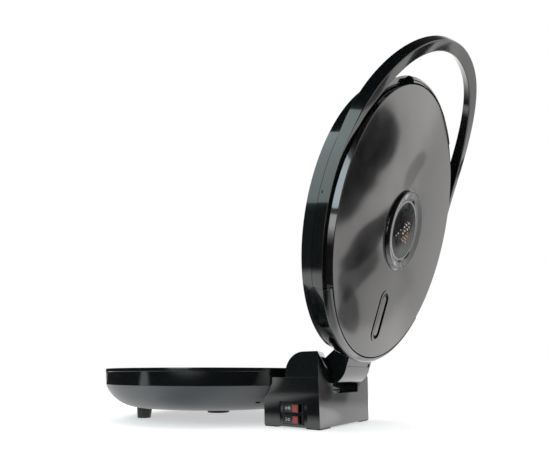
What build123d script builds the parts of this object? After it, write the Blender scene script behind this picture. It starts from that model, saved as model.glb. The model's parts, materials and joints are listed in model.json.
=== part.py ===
from build123d import *
import math
import os

os.makedirs("parts", exist_ok=True)

# Electric pizza maker, in millimetres. The pan's middle is on the Z axis, the table is at zero,
# +X is the user's right, -Y the front and +Y the hinge. The lid is built closed and then opened.

# Base pan
PAN_RADIUS = 180.0
RIM_TOP = 76.2
RIM_RING_HEIGHT = 5.2
RIM_RING_WIDTH = 15.0
RIM_RING_LIP = 3.2
RIM_RING_SKIRT = 1.4
RIM_RING_EDGE = 0.8
SHELL_WALL = 2.4
BAND_TOP_INSET = 0.3
BAND_TAPER = 1.4
BAND_FOOT_HEIGHT = 52.4
CREASE_DEPTH = 0.7
BOWL_MIDDLE_INSET = 14.7
BOWL_MIDDLE_HEIGHT = 32.0
BOWL_FLOOR_INSET = 50.3
BOWL_FLOOR_HEIGHT = 18.0
WIRE_WINDOW_WIDTH = 44.0
WIRE_WINDOW_LOW = 26.0
WIRE_WINDOW_HIGH = 44.0
SEAM_SLOT_LENGTH = 7.0
SEAM_SLOT_HEIGHT = 2.2
SEAM_SLOT_ANGLE = 62.0
SEAM_SLOT_LEVEL = 30.0

# Baking plates
PLATE_FLOOR_INSET = 8.0
PLATE_DEPTH = 18.5
PLATE_THICKNESS = 2.5
PLATE_DRAFT = 5.5
PLATE_FLANGE_THICKNESS = 2.0
PLATE_BOSS_RADIUS = 5.5
BOSS_CIRCLE_RADIUS = 90.0
BOSS_COUNT = 3
UPPER_PLATE_RECESS = 0.8
UPPER_PLATE_FLANGE_WIDTH = 7.3

# Heating parts, alike in the base and the lid
ELEMENT_INSET = 37.0
ELEMENT_TUBE_RADIUS = 3.3
ELEMENT_GAP_ANGLE = 16.0
ELEMENT_PIN_LENGTH = 7.0
ELEMENT_PIN_RADIUS = 1.6
CLAMP_COUNT = 3
CLAMP_WIDTH = 11.0
CLAMP_SHEET = 1.2
CLAMP_REACH = 9.0
CLAMP_TURN = 60.0
REFLECTOR_INSET = 11.0
REFLECTOR_SHEET = 0.8
REFLECTOR_RIM_HEIGHT = 6.0
REFLECTOR_RIM_FLARE = 5.0
REFLECTOR_HOLE_RADIUS = 26.0
REFLECTOR_DROP = 12.5
THERMOSTAT_RADIUS = 9.0
THERMOSTAT_HEIGHT = 8.0
THERMOSTAT_TAB_LENGTH = 30.0
THERMOSTAT_TAB_WIDTH = 8.0
THERMOSTAT_TAB_SHEET = 1.0
FUSE_RADIUS = 2.2
FUSE_LENGTH = 14.0
FUSE_CLIP_WIDTH = 5.0
FUSE_X = 52.0
FUSE_Y = -24.0
SEAT_GAP = 0.05
QUARTER_TURN = 90.0

# Feet
FOOT_X = 96.0
FOOT_Y = -70.0
FOOT_TOP_RADIUS = 12.0
FOOT_TIP_RADIUS = 10.0
FOOT_EDGE = 0.8
FOOT_SCREW_POCKET_RADIUS = 4.6
FOOT_SCREW_POCKET_DEPTH = 7.0
CENTRE_CAP_RADIUS = 18.0
CENTRE_CAP_LEVEL = 5.2
CENTRE_CAP_RIM = 2.0
PAD_THICKNESS = 1.5
PAD_LENGTH = 28.0
PAD_WIDTH = 20.0
PAD_INSET = 0.6

# Hinge housing behind the pan
HINGE_BEHIND_RIM = 34.5
HINGE_Z = 67.8
OPEN_ANGLE = 108.5
HOUSING_BACK_REACH = 21.5
HOUSING_FRONT_REACH = 63.0
HOUSING_BASE_HALF_WIDTH = 73.2
HOUSING_FLARE = 3.8
HOUSING_WALL = 2.6
LEDGE_HEIGHT = 63.7
LEDGE_STEP = 1.6
TOWER_RADIUS = 28.5
SLOT_HALF_WIDTH = 38.0
TROUGH_RADIUS = 25.0
FACET_LOW_HEIGHT = 57.0
FACET_TOP_SETBACK = 13.0
PAN_CLEARANCE = 0.3
EDGE_PICK_BAND = 0.001
BOTTOM_COVER_THICKNESS = 2.0
BOTTOM_COVER_GAP = 0.2
COVER_POST_RADIUS = 4.5
COVER_POST_SIDE_INSET = 35.2
COVER_POST_FRONT_INSET = 19.5
COVER_POST_BACK_INSET = 9.0
COVER_POST_HEIGHT = 20.0
COVER_POST_RIB = 2.0
PIN_BOSS_RADIUS = 9.0
PIN_BOSS_LENGTH = 20.0
HOUSING_TO_SHELL_SCREW_X = 30.0
HOUSING_TO_SHELL_SCREW_Z = 57.0

# Hinge pins and the lid's neck
PIN_RADIUS = 4.0
PIN_ENTRY = 15.0
PIN_RUNNING_CLEARANCE = 0.05
PIN_PRESS_GAP = 0.02
BUSH_WALL = 2.2
NECK_SIDE_CLEARANCE = 0.8
KNUCKLE_RADIUS = 15.0
NECK_WALL = 3.0
NECK_TOP_RISE = 27.4
NECK_FOOT_RISE = 4.0
NECK_FRONT_WALL = 4.0
NECK_SEAT_CLEARANCE = 0.05
HOOD_FLAT_BACK = 17.5
HOOD_BEND_BACK = 6.0
HOOD_BEND_RISE = 34.2
HOOD_LIP_FORWARD = 2.5
HOOD_LIP_RISE = 28.8
HOOD_GROOVE_DEPTH = 1.2
HOOD_GROOVE_START = 2.5
HOOD_GROOVE_WIDTH = 5.0
HOOD_GROOVE_MARGIN = 3.0
CHEEK_BACK_REACH = 13.0
CHEEK_BACK_RISE = 7.0
CHEEK_FRONT_REACH = 14.0
CHEEK_FRONT_DROP = 3.0
NECK_SCREW_X = 24.0
NECK_SCREW_LOW = 9.0
NECK_SCREW_HIGH = 19.0

# Rocker switches on the right side of the housing
SWITCH_COUNT = 2
SWITCH_BEFORE_HINGE = 17.2
SWITCH_LOW_Z = 10.9
SWITCH_PITCH = 14.0
SWITCH_FRAME_LENGTH = 31.0
SWITCH_FRAME_HEIGHT = 13.4
SWITCH_FRAME_LIP = 1.6
SWITCH_BODY_LENGTH = 28.4
SWITCH_BODY_HEIGHT = 12.2
SWITCH_BODY_DEPTH = 20.0
SWITCH_WINDOW_LENGTH = 26.2
SWITCH_WINDOW_HEIGHT = 10.6
SWITCH_WINDOW_DEPTH = 10.5
SWITCH_CUTOUT_CLEARANCE = 0.15
ROCKER_LENGTH = 23.8
ROCKER_SIDE_CLEARANCE = 0.3
ROCKER_TILT = 7.0
ROCKER_END_HEIGHT = 3.4
ROCKER_MIDDLE_HEIGHT = 1.7
ROCKER_PIVOT_DEPTH = 3.0
ROCKER_FOOT_DEPTH = 6.5
ROCKER_FOOT_LENGTH = 14.0
ROCKER_STUB_RADIUS = 1.4
ROCKER_STUB_LENGTH = 0.7
ROCKER_STUB_CLEARANCE = 0.05
LAMP_LENGTH = 8.4
LAMP_MARGIN = 1.1
LAMP_DEPTH = 1.8
RECESS_FRONT_MARGIN = 5.0
RECESS_BACK_MARGIN = 5.5
RECESS_TOP = 33.0
RECESS_INSET = 0.3
TERMINAL_COUNT = 3
TERMINAL_LENGTH = 8.0
TERMINAL_WIDTH = 4.8
TERMINAL_THICKNESS = 0.8

# Mains parts inside the housing
BLOCK_LENGTH = 34.0
BLOCK_DEPTH = 17.0
BLOCK_HEIGHT = 14.0
BLOCK_HOLE_RADIUS = 2.0
BLOCK_WAYS = 3
BLOCK_X = -12.0
BLOCK_BEFORE_HINGE = 14.5
GLAND_BEFORE_HINGE = 9.5
GLAND_Z = 22.0
GLAND_FLANGE_RADIUS = 9.0
GLAND_FLANGE_THICKNESS = 2.5
GLAND_BODY_RADIUS = 6.5
GLAND_BORE_RADIUS = 3.8
GLAND_INNER_LENGTH = 12.0
GLAND_NUT_RADIUS = 10.5
GLAND_NUT_THICKNESS = 5.0

# Lid ring and dome, measured up from the lid's lower edge
LID_GAP = 0.8
LID_FLARE = 5.0
LID_SHOULDER_HEIGHT = 30.5
LID_WALL = 2.5
LID_FLANGE_WIDTH = 14.8
LID_FLANGE_THICKNESS = 3.0
LID_EDGE_CHAMFER = 0.8
LEDGE_TOP = 27.0
LEDGE_THICKNESS = 2.4
LEDGE_REACH = 11.5
DOME_INSET = 8.5
DOME_HEIGHT = 37.8
DOME_CROWN = 0.4
DOME_EDGE_ROUND = 1.6
DOME_WALL = 2.5
DOME_SEAM = 0.5
SHOULDER_BULGE_INSET = 2.0
SHOULDER_BULGE_RISE = 4.2
REAR_SHOULDER_ANGLE = 54.0
FRONT_SHOULDER_ANGLE = 28.0
DOME_SCREW_COUNT = 6
DOME_SCREW_INSET = 7.0
DOME_BOSS_RADIUS = 4.0
RIM_SCREW_COUNT = 6
RIM_SCREW_INSET = 4.3

# Handle loop, by angle forward of the lid's right side
HANDLE_TAIL_ANGLE = -36.0
HANDLE_LEAVE_ANGLE = 12.0
HANDLE_SETTLE_ANGLE = 84.0
HANDLE_REACH = 45.5
HANDLE_FREE_ANGLE = 38.0
HANDLE_BOTTOM = 15.6
HANDLE_BOTTOM_RISE = 40.0
HANDLE_BOTTOM_LIFT_ANGLE = 18.0
HANDLE_BOTTOM_EASE = 1.1
HANDLE_TOP_RISE = 37.0
HANDLE_TOP_LIFT_ANGLE = -5.0
HANDLE_TOP_EASE = 1.6
HANDLE_TAIL_WIDTH = 6.0
HANDLE_WIDTH = 13.0
HANDLE_WIDEN_FROM = 14.0
HANDLE_WIDEN_TO = 40.0
HANDLE_ROLL = 36.0
HANDLE_ROLL_FROM = 25.0
HANDLE_EDGE_ROUND = 1.8
HANDLE_STATION_STEP = 7.0
HANDLE_CLEARANCE = 0.15
HANDLE_END_GAP_ANGLE = 0.1
SLOT_WALL = 2.4
SLOT_END_ANGLE = 0.8
HANDLE_SCREW_ANGLES = (-28.0, -4.0)
HANDLE_SCREW_ENTRY = 4.2

# Middle panel and rear slot of the dome
BEZEL_RADIUS = 54.0
BEZEL_CROWN_RADIUS = 46.0
BEZEL_CROWN_WIDTH = 4.0
BEZEL_HEIGHT = 4.8
BEZEL_SHOULDER_HEIGHT = 3.2
BEZEL_SHOULDER_SETBACK = 2.4
BEZEL_FOOT_EDGE = 1.0
BEZEL_NECK_RADIUS = 50.0
BEZEL_NECK_DEPTH = 6.0
BEZEL_OPENING_RADIUS = 39.0
BEZEL_SHELF_RADIUS = 35.0
BEZEL_SHELF_LEVEL = -1.1
BEZEL_SHELF_THICKNESS = 2.0
PANEL_RECESS = 3.6
PANEL_FIT = 0.15
TRIM_WIDTH = 1.5
TRIM_NOTCH_WIDTH = 4.0
TRIM_NOTCH_DEPTH = 1.2
LENS_THICKNESS = 2.0
LOCK_RING_RADIUS = 56.0
LOCK_RING_THICKNESS = 3.0
BOARD_RADIUS = 43.0
BOARD_THICKNESS = 1.6
BOARD_DROP = 1.2
PANEL_LAMP_COUNT = 4
PANEL_LAMP_RADIUS = 2.5
PANEL_LAMP_CIRCLE = 12.0
PANEL_SCREW_COUNT = 3
PANEL_SCREW_CIRCLE = 40.0
REAR_SLOT_Y = 118.0
REAR_SLOT_LENGTH = 71.0
REAR_SLOT_WIDTH = 27.0
REAR_SLOT_LIP = 2.4
REAR_SLOT_LIP_HEIGHT = 0.8
REAR_SLOT_DEPTH = 3.2
REAR_SLOT_WALL = 1.6
REAR_SLOT_FLOOR = 1.2
REAR_BAR_LENGTH = 55.0
REAR_BAR_WIDTH = 12.0
REAR_BAR_HEIGHT = 2.6

# Screws
SCREW_RADIUS = 1.7
SCREW_HEAD_RADIUS = 3.2
SCREW_HEAD_HEIGHT = 2.0
SCREW_BITE = 7.0
SCREW_THREAD_GAP = 0.03
SCREW_HOLE_GAP = 0.2

# Worked-out sizes
RIM_RING_INNER_RADIUS = PAN_RADIUS - RIM_RING_WIDTH
BAND_TOP_RADIUS = PAN_RADIUS - BAND_TOP_INSET
BAND_FOOT_RADIUS = BAND_TOP_RADIUS - BAND_TAPER
BOWL_MIDDLE_RADIUS = BAND_FOOT_RADIUS - BOWL_MIDDLE_INSET
BOWL_FLOOR_RADIUS = BAND_FOOT_RADIUS - BOWL_FLOOR_INSET
PLATE_FLOOR_RADIUS = RIM_RING_INNER_RADIUS - PLATE_FLOOR_INSET
REFLECTOR_RADIUS = PLATE_FLOOR_RADIUS - REFLECTOR_INSET
ELEMENT_CIRCLE_RADIUS = PLATE_FLOOR_RADIUS - ELEMENT_INSET
HOUSING_TOP_HALF_WIDTH = HOUSING_BASE_HALF_WIDTH + HOUSING_FLARE
RECESS_PLANE_X = HOUSING_BASE_HALF_WIDTH - RECESS_INSET
COVER_POST_X = HOUSING_BASE_HALF_WIDTH - COVER_POST_SIDE_INSET
HINGE_Y = PAN_RADIUS + HINGE_BEHIND_RIM
HOUSING_BACK_Y = HINGE_Y + HOUSING_BACK_REACH
HOUSING_FRONT_Y = HINGE_Y - HOUSING_FRONT_REACH
COVER_POST_FRONT_Y = HOUSING_FRONT_Y + COVER_POST_FRONT_INSET
COVER_POST_BACK_Y = HOUSING_BACK_Y - COVER_POST_BACK_INSET
SWITCH_Y = HINGE_Y - SWITCH_BEFORE_HINGE
BLOCK_Y = HINGE_Y - BLOCK_BEFORE_HINGE
GLAND_Y = HINGE_Y - GLAND_BEFORE_HINGE
LID_EDGE_RADIUS = PAN_RADIUS
LID_SHOULDER_RADIUS = LID_EDGE_RADIUS + LID_FLARE
LID_FLANGE_INNER_RADIUS = LID_EDGE_RADIUS - LID_FLANGE_WIDTH
DOME_RADIUS = LID_SHOULDER_RADIUS - DOME_INSET
LEDGE_INNER_RADIUS = DOME_RADIUS - LEDGE_REACH
SHOULDER_BULGE_RADIUS = LID_SHOULDER_RADIUS - SHOULDER_BULGE_INSET
SHOULDER_BULGE_HEIGHT = LID_SHOULDER_HEIGHT + SHOULDER_BULGE_RISE
DOME_SCREW_CIRCLE_RADIUS = DOME_RADIUS - DOME_SCREW_INSET
RIM_SCREW_CIRCLE_RADIUS = LID_FLANGE_INNER_RADIUS + RIM_SCREW_INSET
UPPER_PLATE_FLANGE_RADIUS = LID_FLANGE_INNER_RADIUS + UPPER_PLATE_FLANGE_WIDTH
SCREW_CORE_RADIUS = SCREW_RADIUS + SCREW_THREAD_GAP
SCREW_HOLE_RADIUS = SCREW_RADIUS + SCREW_HOLE_GAP
SHELL_TOP = RIM_TOP - RIM_RING_HEIGHT
PLATE_FLANGE_TOP = SHELL_TOP + PLATE_FLANGE_THICKNESS
PLATE_FLOOR_TOP = PLATE_FLANGE_TOP - PLATE_DEPTH
PLATE_UNDERSIDE = PLATE_FLOOR_TOP - PLATE_THICKNESS
BOWL_INNER_FLOOR = BOWL_FLOOR_HEIGHT + SHELL_WALL
MATE_Z = RIM_TOP + LID_GAP
TOWER_TOP = HINGE_Z + TOWER_RADIUS
HOUSING_BOTTOM = PAD_THICKNESS
SLOT_FLOOR = HINGE_Z - TROUGH_RADIUS
NECK_HALF_WIDTH = SLOT_HALF_WIDTH - NECK_SIDE_CLEARANCE
UPPER_PLATE_BACK = LID_FLANGE_THICKNESS + PLATE_FLANGE_THICKNESS
SWITCH_FRONT_X = RECESS_PLANE_X + SWITCH_FRAME_LIP
GLAND_SEAT_X = HOUSING_BASE_HALF_WIDTH
DOME_TOP = DOME_HEIGHT + DOME_CROWN
BUSH_RADIUS = PIN_RADIUS + PIN_RUNNING_CLEARANCE + BUSH_WALL


def ease(value):
    """Smooth step from 0 to 1."""
    t = min(max(value, 0.0), 1.0)
    return t * t * (3 - 2 * t)


def spun(points, arc=360.0, start=0.0):
    """Closed outline of radius and height, turned about the Z axis from an angle."""
    face = Plane.XZ * make_face(Polyline(*points, close=True))
    return Rot(0, 0, start) * revolve(face, axis=Axis.Z, revolution_arc=arc)


def spun_edges(edges, arc=360.0, start=0.0):
    """The same, for an outline made of lines and arcs."""
    face = Plane.XZ * make_face(edges)
    return Rot(0, 0, start) * revolve(face, axis=Axis.Z, revolution_arc=arc)


def side_prism(edges, half_width):
    """Outline in Y and Z, as thick along X as twice the half width."""
    return extrude(Plane.YZ * make_face(edges), amount=half_width, both=True)


def block(x_low, x_high, y_low, y_high, z_low, z_high):
    """Box between two corners."""
    size = (x_high - x_low, y_high - y_low, z_high - z_low)
    middle = ((x_low + x_high) / 2, (y_low + y_high) / 2, (z_low + z_high) / 2)
    return Pos(*middle) * Box(*size)


def upright(radius, low, high, x=0.0, y=0.0):
    """Round bar standing between two heights."""
    return Pos(x, y, (low + high) / 2) * Cylinder(radius, high - low)


def crosswise(radius, x_low, x_high, y, z):
    """Round bar lying along X."""
    return Pos((x_low + x_high) / 2, y, z) * Rot(0, 90, 0) * Cylinder(radius, x_high - x_low)


def around(shape, count, start=0.0):
    """Copies of a shape spaced evenly about the Z axis."""
    return [Rot(0, 0, start + index * 360.0 / count) * shape for index in range(count)]


def both_sides(shape):
    """A shape and its mirror copy across the middle plane."""
    return [shape, mirror(shape, about=Plane.YZ)]


def screw(head_base, direction, length):
    """Round-headed screw: the head stands on its base point and the shank runs along the direction."""
    seat = Plane(origin=head_base, z_dir=direction)
    shank = Pos(0, 0, length / 2) * Cylinder(SCREW_RADIUS, length)
    head = Pos(0, 0, -SCREW_HEAD_HEIGHT / 2) * Cylinder(SCREW_HEAD_RADIUS, SCREW_HEAD_HEIGHT)
    crown = edges_at(head, -SCREW_HEAD_HEIGHT)
    return seat * (fillet(crown, SCREW_HEAD_HEIGHT / 2) + shank)


def edges_at(shape, height):
    """Edges that lie flat at one height of a shape."""
    return shape.edges().filter_by_position(Axis.Z, height - EDGE_PICK_BAND, height + EDGE_PICK_BAND)


# Base pan pieces
def bowl_solid(grow):
    """Space inside the pan's outer skin, grown outward or inward."""
    crease_radius = BAND_FOOT_RADIUS - CREASE_DEPTH
    slope = grow * math.sqrt(0.5)
    foot = (crease_radius + grow, BAND_FOOT_HEIGHT)
    middle = (BOWL_MIDDLE_RADIUS + slope, BOWL_MIDDLE_HEIGHT - slope)
    floor = (BOWL_FLOOR_RADIUS, BOWL_FLOOR_HEIGHT - grow)
    edges = [
        Line((0, floor[1]), floor),
        ThreePointArc(floor, middle, foot),
        Line(foot, (BAND_FOOT_RADIUS + grow, BAND_FOOT_HEIGHT)),
        Line((BAND_FOOT_RADIUS + grow, BAND_FOOT_HEIGHT), (BAND_TOP_RADIUS + grow, SHELL_TOP)),
        Line((BAND_TOP_RADIUS + grow, SHELL_TOP), (0, SHELL_TOP)),
        Line((0, SHELL_TOP), (0, floor[1])),
    ]
    return spun_edges(edges)


def pan_space(grow):
    """The room that the pan and its rim ring take up, grown outward."""
    return bowl_solid(grow) + upright(PAN_RADIUS + grow, SHELL_TOP - grow, RIM_TOP + TOWER_TOP)


def base_shell():
    shell = bowl_solid(0.0) - bowl_solid(-SHELL_WALL)
    reflector_seat = PLATE_UNDERSIDE - REFLECTOR_DROP
    post = upright(PLATE_BOSS_RADIUS, BOWL_FLOOR_HEIGHT, reflector_seat, BOSS_CIRCLE_RADIUS)
    shell += around(post, BOSS_COUNT, QUARTER_TURN)
    head_room = SCREW_HEAD_HEIGHT + SHELL_WALL
    bore = upright(SCREW_HOLE_RADIUS, 0, reflector_seat, BOSS_CIRCLE_RADIUS)
    pocket_top = BOWL_FLOOR_HEIGHT + head_room
    pocket = upright(SCREW_HEAD_RADIUS + PAN_CLEARANCE, 0, pocket_top, BOSS_CIRCLE_RADIUS)
    shell -= around(bore + pocket, BOSS_COUNT, QUARTER_TURN)
    foot_boss = upright(PLATE_BOSS_RADIUS, BOWL_FLOOR_HEIGHT, BOWL_INNER_FLOOR + SCREW_BITE, FOOT_X, FOOT_Y)
    foot_bore = upright(SCREW_CORE_RADIUS, 0, BOWL_FLOOR_HEIGHT + SCREW_BITE, FOOT_X, FOOT_Y)
    shell = shell + both_sides(foot_boss) - both_sides(foot_bore)
    centre_boss = upright(PLATE_BOSS_RADIUS, BOWL_FLOOR_HEIGHT, BOWL_INNER_FLOOR + SCREW_BITE)
    centre_bore = upright(SCREW_CORE_RADIUS, 0, BOWL_FLOOR_HEIGHT + SCREW_BITE)
    shell = shell + centre_boss - centre_bore
    half = WIRE_WINDOW_WIDTH / 2
    shell -= block(-half, half, BOWL_FLOOR_RADIUS, PAN_RADIUS, WIRE_WINDOW_LOW, WIRE_WINDOW_HIGH)
    slot = block(BOWL_FLOOR_RADIUS, PAN_RADIUS, -SEAM_SLOT_LENGTH / 2, SEAM_SLOT_LENGTH / 2,
                 SEAM_SLOT_LEVEL - SEAM_SLOT_HEIGHT / 2, SEAM_SLOT_LEVEL + SEAM_SLOT_HEIGHT / 2)
    shell -= both_sides(Rot(0, 0, SEAM_SLOT_ANGLE) * slot)
    wall_bore = Plane(origin=(HOUSING_TO_SHELL_SCREW_X, BOWL_FLOOR_RADIUS, HOUSING_TO_SHELL_SCREW_Z),
                      z_dir=(0, 1, 0)) * Cylinder(SCREW_HOLE_RADIUS, 2 * PAN_RADIUS - BOWL_FLOOR_RADIUS,
                                                  align=(Align.CENTER, Align.CENTER, Align.MIN))
    return shell - both_sides(wall_bore)


def base_rim_ring():
    inner = RIM_RING_INNER_RADIUS
    skirt = PAN_RADIUS - RIM_RING_SKIRT
    edge = RIM_RING_EDGE
    lip_base = RIM_TOP - RIM_RING_LIP
    return spun([(inner, lip_base), (skirt, lip_base), (skirt, SHELL_TOP), (PAN_RADIUS, SHELL_TOP),
                 (PAN_RADIUS, RIM_TOP - edge), (PAN_RADIUS - edge, RIM_TOP), (inner + edge, RIM_TOP),
                 (inner, RIM_TOP - edge)])


def lower_plate():
    wall_top = PLATE_FLOOR_RADIUS + PLATE_DRAFT
    flange = PAN_RADIUS - RIM_RING_SKIRT - SEAT_GAP
    plate = spun([(0, PLATE_UNDERSIDE), (PLATE_FLOOR_RADIUS + PLATE_THICKNESS / 2, PLATE_UNDERSIDE),
                  (wall_top + PLATE_THICKNESS, SHELL_TOP), (flange, SHELL_TOP), (flange, PLATE_FLANGE_TOP),
                  (wall_top, PLATE_FLANGE_TOP), (PLATE_FLOOR_RADIUS, PLATE_FLOOR_TOP),
                  (0, PLATE_FLOOR_TOP)])
    boss_foot = PLATE_UNDERSIDE - REFLECTOR_DROP + REFLECTOR_SHEET
    boss = upright(PLATE_BOSS_RADIUS, boss_foot, PLATE_UNDERSIDE + SEAT_GAP, BOSS_CIRCLE_RADIUS)
    bore = upright(SCREW_CORE_RADIUS, boss_foot, boss_foot + SCREW_BITE, BOSS_CIRCLE_RADIUS)
    return plate + around(boss, BOSS_COUNT, QUARTER_TURN) - around(bore, BOSS_COUNT, QUARTER_TURN)


# Heating parts are made lying under a plate whose underside is at height zero
def element():
    """Tubular heating ring with a gap, and a cold pin on each end."""
    run = 360.0 - ELEMENT_GAP_ANGLE
    level = -ELEMENT_TUBE_RADIUS - SEAT_GAP
    disc = Pos(ELEMENT_CIRCLE_RADIUS, level) * Circle(ELEMENT_TUBE_RADIUS)
    tube = revolve(Plane.XZ * disc, axis=Axis.Z, revolution_arc=run)
    tube = Rot(0, 0, QUARTER_TURN + ELEMENT_GAP_ANGLE / 2) * tube
    pin = upright(ELEMENT_PIN_RADIUS, level - ELEMENT_PIN_LENGTH, level, ELEMENT_CIRCLE_RADIUS)
    margin = ELEMENT_GAP_ANGLE / 2 + math.degrees(ELEMENT_TUBE_RADIUS / ELEMENT_CIRCLE_RADIUS)
    return tube + Rot(0, 0, QUARTER_TURN - margin) * pin + Rot(0, 0, QUARTER_TURN + margin) * pin


def element_clamps():
    """Straps that hold the ring up against the plate."""
    base = -2 * (ELEMENT_TUBE_RADIUS + SEAT_GAP)
    inner = ELEMENT_CIRCLE_RADIUS - ELEMENT_TUBE_RADIUS - CLAMP_REACH
    outer = ELEMENT_CIRCLE_RADIUS + ELEMENT_TUBE_RADIUS + CLAMP_REACH
    half = CLAMP_WIDTH / 2
    strap = block(inner, outer, -half, half, base - CLAMP_SHEET, base)
    strap += block(inner, inner + CLAMP_SHEET, -half, half, base, -SEAT_GAP)
    strap += block(outer - CLAMP_SHEET, outer, -half, half, base, -SEAT_GAP)
    return around(strap, CLAMP_COUNT, QUARTER_TURN + CLAMP_TURN)


def reflector():
    """Sheet dish that throws the heat back at the plate."""
    top = -REFLECTOR_DROP + REFLECTOR_SHEET
    low = -REFLECTOR_DROP
    rim = top + REFLECTOR_RIM_HEIGHT
    edge = REFLECTOR_RADIUS + REFLECTOR_RIM_FLARE
    dish = spun([(REFLECTOR_HOLE_RADIUS, low), (REFLECTOR_RADIUS, low), (edge, rim - REFLECTOR_SHEET),
                 (edge, rim), (REFLECTOR_RADIUS - REFLECTOR_SHEET, top), (REFLECTOR_HOLE_RADIUS, top)])
    hole = upright(SCREW_HOLE_RADIUS, low, top, BOSS_CIRCLE_RADIUS)
    lead_hole = upright(2 * ELEMENT_PIN_RADIUS, low, top, ELEMENT_CIRCLE_RADIUS)
    margin = ELEMENT_GAP_ANGLE / 2 + math.degrees(ELEMENT_TUBE_RADIUS / ELEMENT_CIRCLE_RADIUS)
    dish -= around(hole, BOSS_COUNT, QUARTER_TURN)
    dish -= Rot(0, 0, QUARTER_TURN - margin) * lead_hole
    return dish - Rot(0, 0, QUARTER_TURN + margin) * lead_hole


def thermostat():
    """Snap-disc can with its fixing strap, against the middle of the plate."""
    strap_top = -SEAT_GAP
    strap_low = strap_top - THERMOSTAT_TAB_SHEET
    strap = block(-THERMOSTAT_TAB_LENGTH / 2, THERMOSTAT_TAB_LENGTH / 2, -THERMOSTAT_TAB_WIDTH / 2,
                  THERMOSTAT_TAB_WIDTH / 2, strap_low, strap_top)
    can = upright(THERMOSTAT_RADIUS, strap_low - THERMOSTAT_HEIGHT, strap_low)
    blade = block(-TERMINAL_WIDTH / 2, TERMINAL_WIDTH / 2, -TERMINAL_THICKNESS / 2, TERMINAL_THICKNESS / 2,
                  strap_low - THERMOSTAT_HEIGHT - TERMINAL_LENGTH / 2, strap_low - THERMOSTAT_HEIGHT)
    offset = THERMOSTAT_RADIUS / 2
    return strap + can + Pos(0, offset, 0) * blade + Pos(0, -offset, 0) * blade


def thermal_fuse():
    """Small one-shot fuse in a spring clip against the plate."""
    level = -FUSE_RADIUS - THERMOSTAT_TAB_SHEET - SEAT_GAP
    body = crosswise(FUSE_RADIUS, FUSE_X - FUSE_LENGTH / 2, FUSE_X + FUSE_LENGTH / 2, FUSE_Y, level)
    clip = block(FUSE_X - FUSE_CLIP_WIDTH / 2, FUSE_X + FUSE_CLIP_WIDTH / 2, FUSE_Y - FUSE_RADIUS,
                 FUSE_Y + FUSE_RADIUS, level, -SEAT_GAP)
    return body + clip


def plate_screws():
    """Screws that run up through the reflector into the plate's bosses."""
    one = screw((BOSS_CIRCLE_RADIUS, 0, -REFLECTOR_DROP), (0, 0, 1), SCREW_BITE)
    return around(one, BOSS_COUNT, QUARTER_TURN)


def lower_plate_screws():
    head_base = BOWL_INNER_FLOOR + SCREW_HEAD_HEIGHT
    reach = PLATE_UNDERSIDE - REFLECTOR_DROP + REFLECTOR_SHEET + SCREW_BITE - head_base - PAN_CLEARANCE
    return around(screw((BOSS_CIRCLE_RADIUS, 0, head_base), (0, 0, 1), reach), BOSS_COUNT, QUARTER_TURN)


def front_foot():
    taper = Cone(FOOT_TIP_RADIUS, FOOT_TOP_RADIUS, BOWL_FLOOR_HEIGHT)
    taper = Pos(FOOT_X, FOOT_Y, BOWL_FLOOR_HEIGHT / 2) * taper
    taper = chamfer(edges_at(taper, 0.0), FOOT_EDGE)
    pocket = upright(FOOT_SCREW_POCKET_RADIUS, 0, FOOT_SCREW_POCKET_DEPTH, FOOT_X, FOOT_Y)
    bore = upright(SCREW_HOLE_RADIUS, 0, BOWL_FLOOR_HEIGHT, FOOT_X, FOOT_Y)
    return taper - pocket - bore


def foot_screws():
    reach = BOWL_FLOOR_HEIGHT - FOOT_SCREW_POCKET_DEPTH + SCREW_BITE - PAN_CLEARANCE
    return both_sides(screw((FOOT_X, FOOT_Y, FOOT_SCREW_POCKET_DEPTH), (0, 0, 1), reach))


def centre_cap():
    disc = upright(CENTRE_CAP_RADIUS, CENTRE_CAP_LEVEL, BOWL_FLOOR_HEIGHT)
    disc = fillet(edges_at(disc, CENTRE_CAP_LEVEL), CENTRE_CAP_RIM)
    pocket_top = CENTRE_CAP_LEVEL + 2 * SCREW_HEAD_HEIGHT
    pocket = upright(SCREW_HEAD_RADIUS + PAN_CLEARANCE, CENTRE_CAP_LEVEL, pocket_top)
    return disc - pocket - upright(SCREW_HOLE_RADIUS, CENTRE_CAP_LEVEL, BOWL_FLOOR_HEIGHT)


def centre_cap_screw():
    head_base = CENTRE_CAP_LEVEL + 2 * SCREW_HEAD_HEIGHT
    return screw((0, 0, head_base), (0, 0, 1), BOWL_FLOOR_HEIGHT + SCREW_BITE - PAN_CLEARANCE - head_base)


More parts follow.
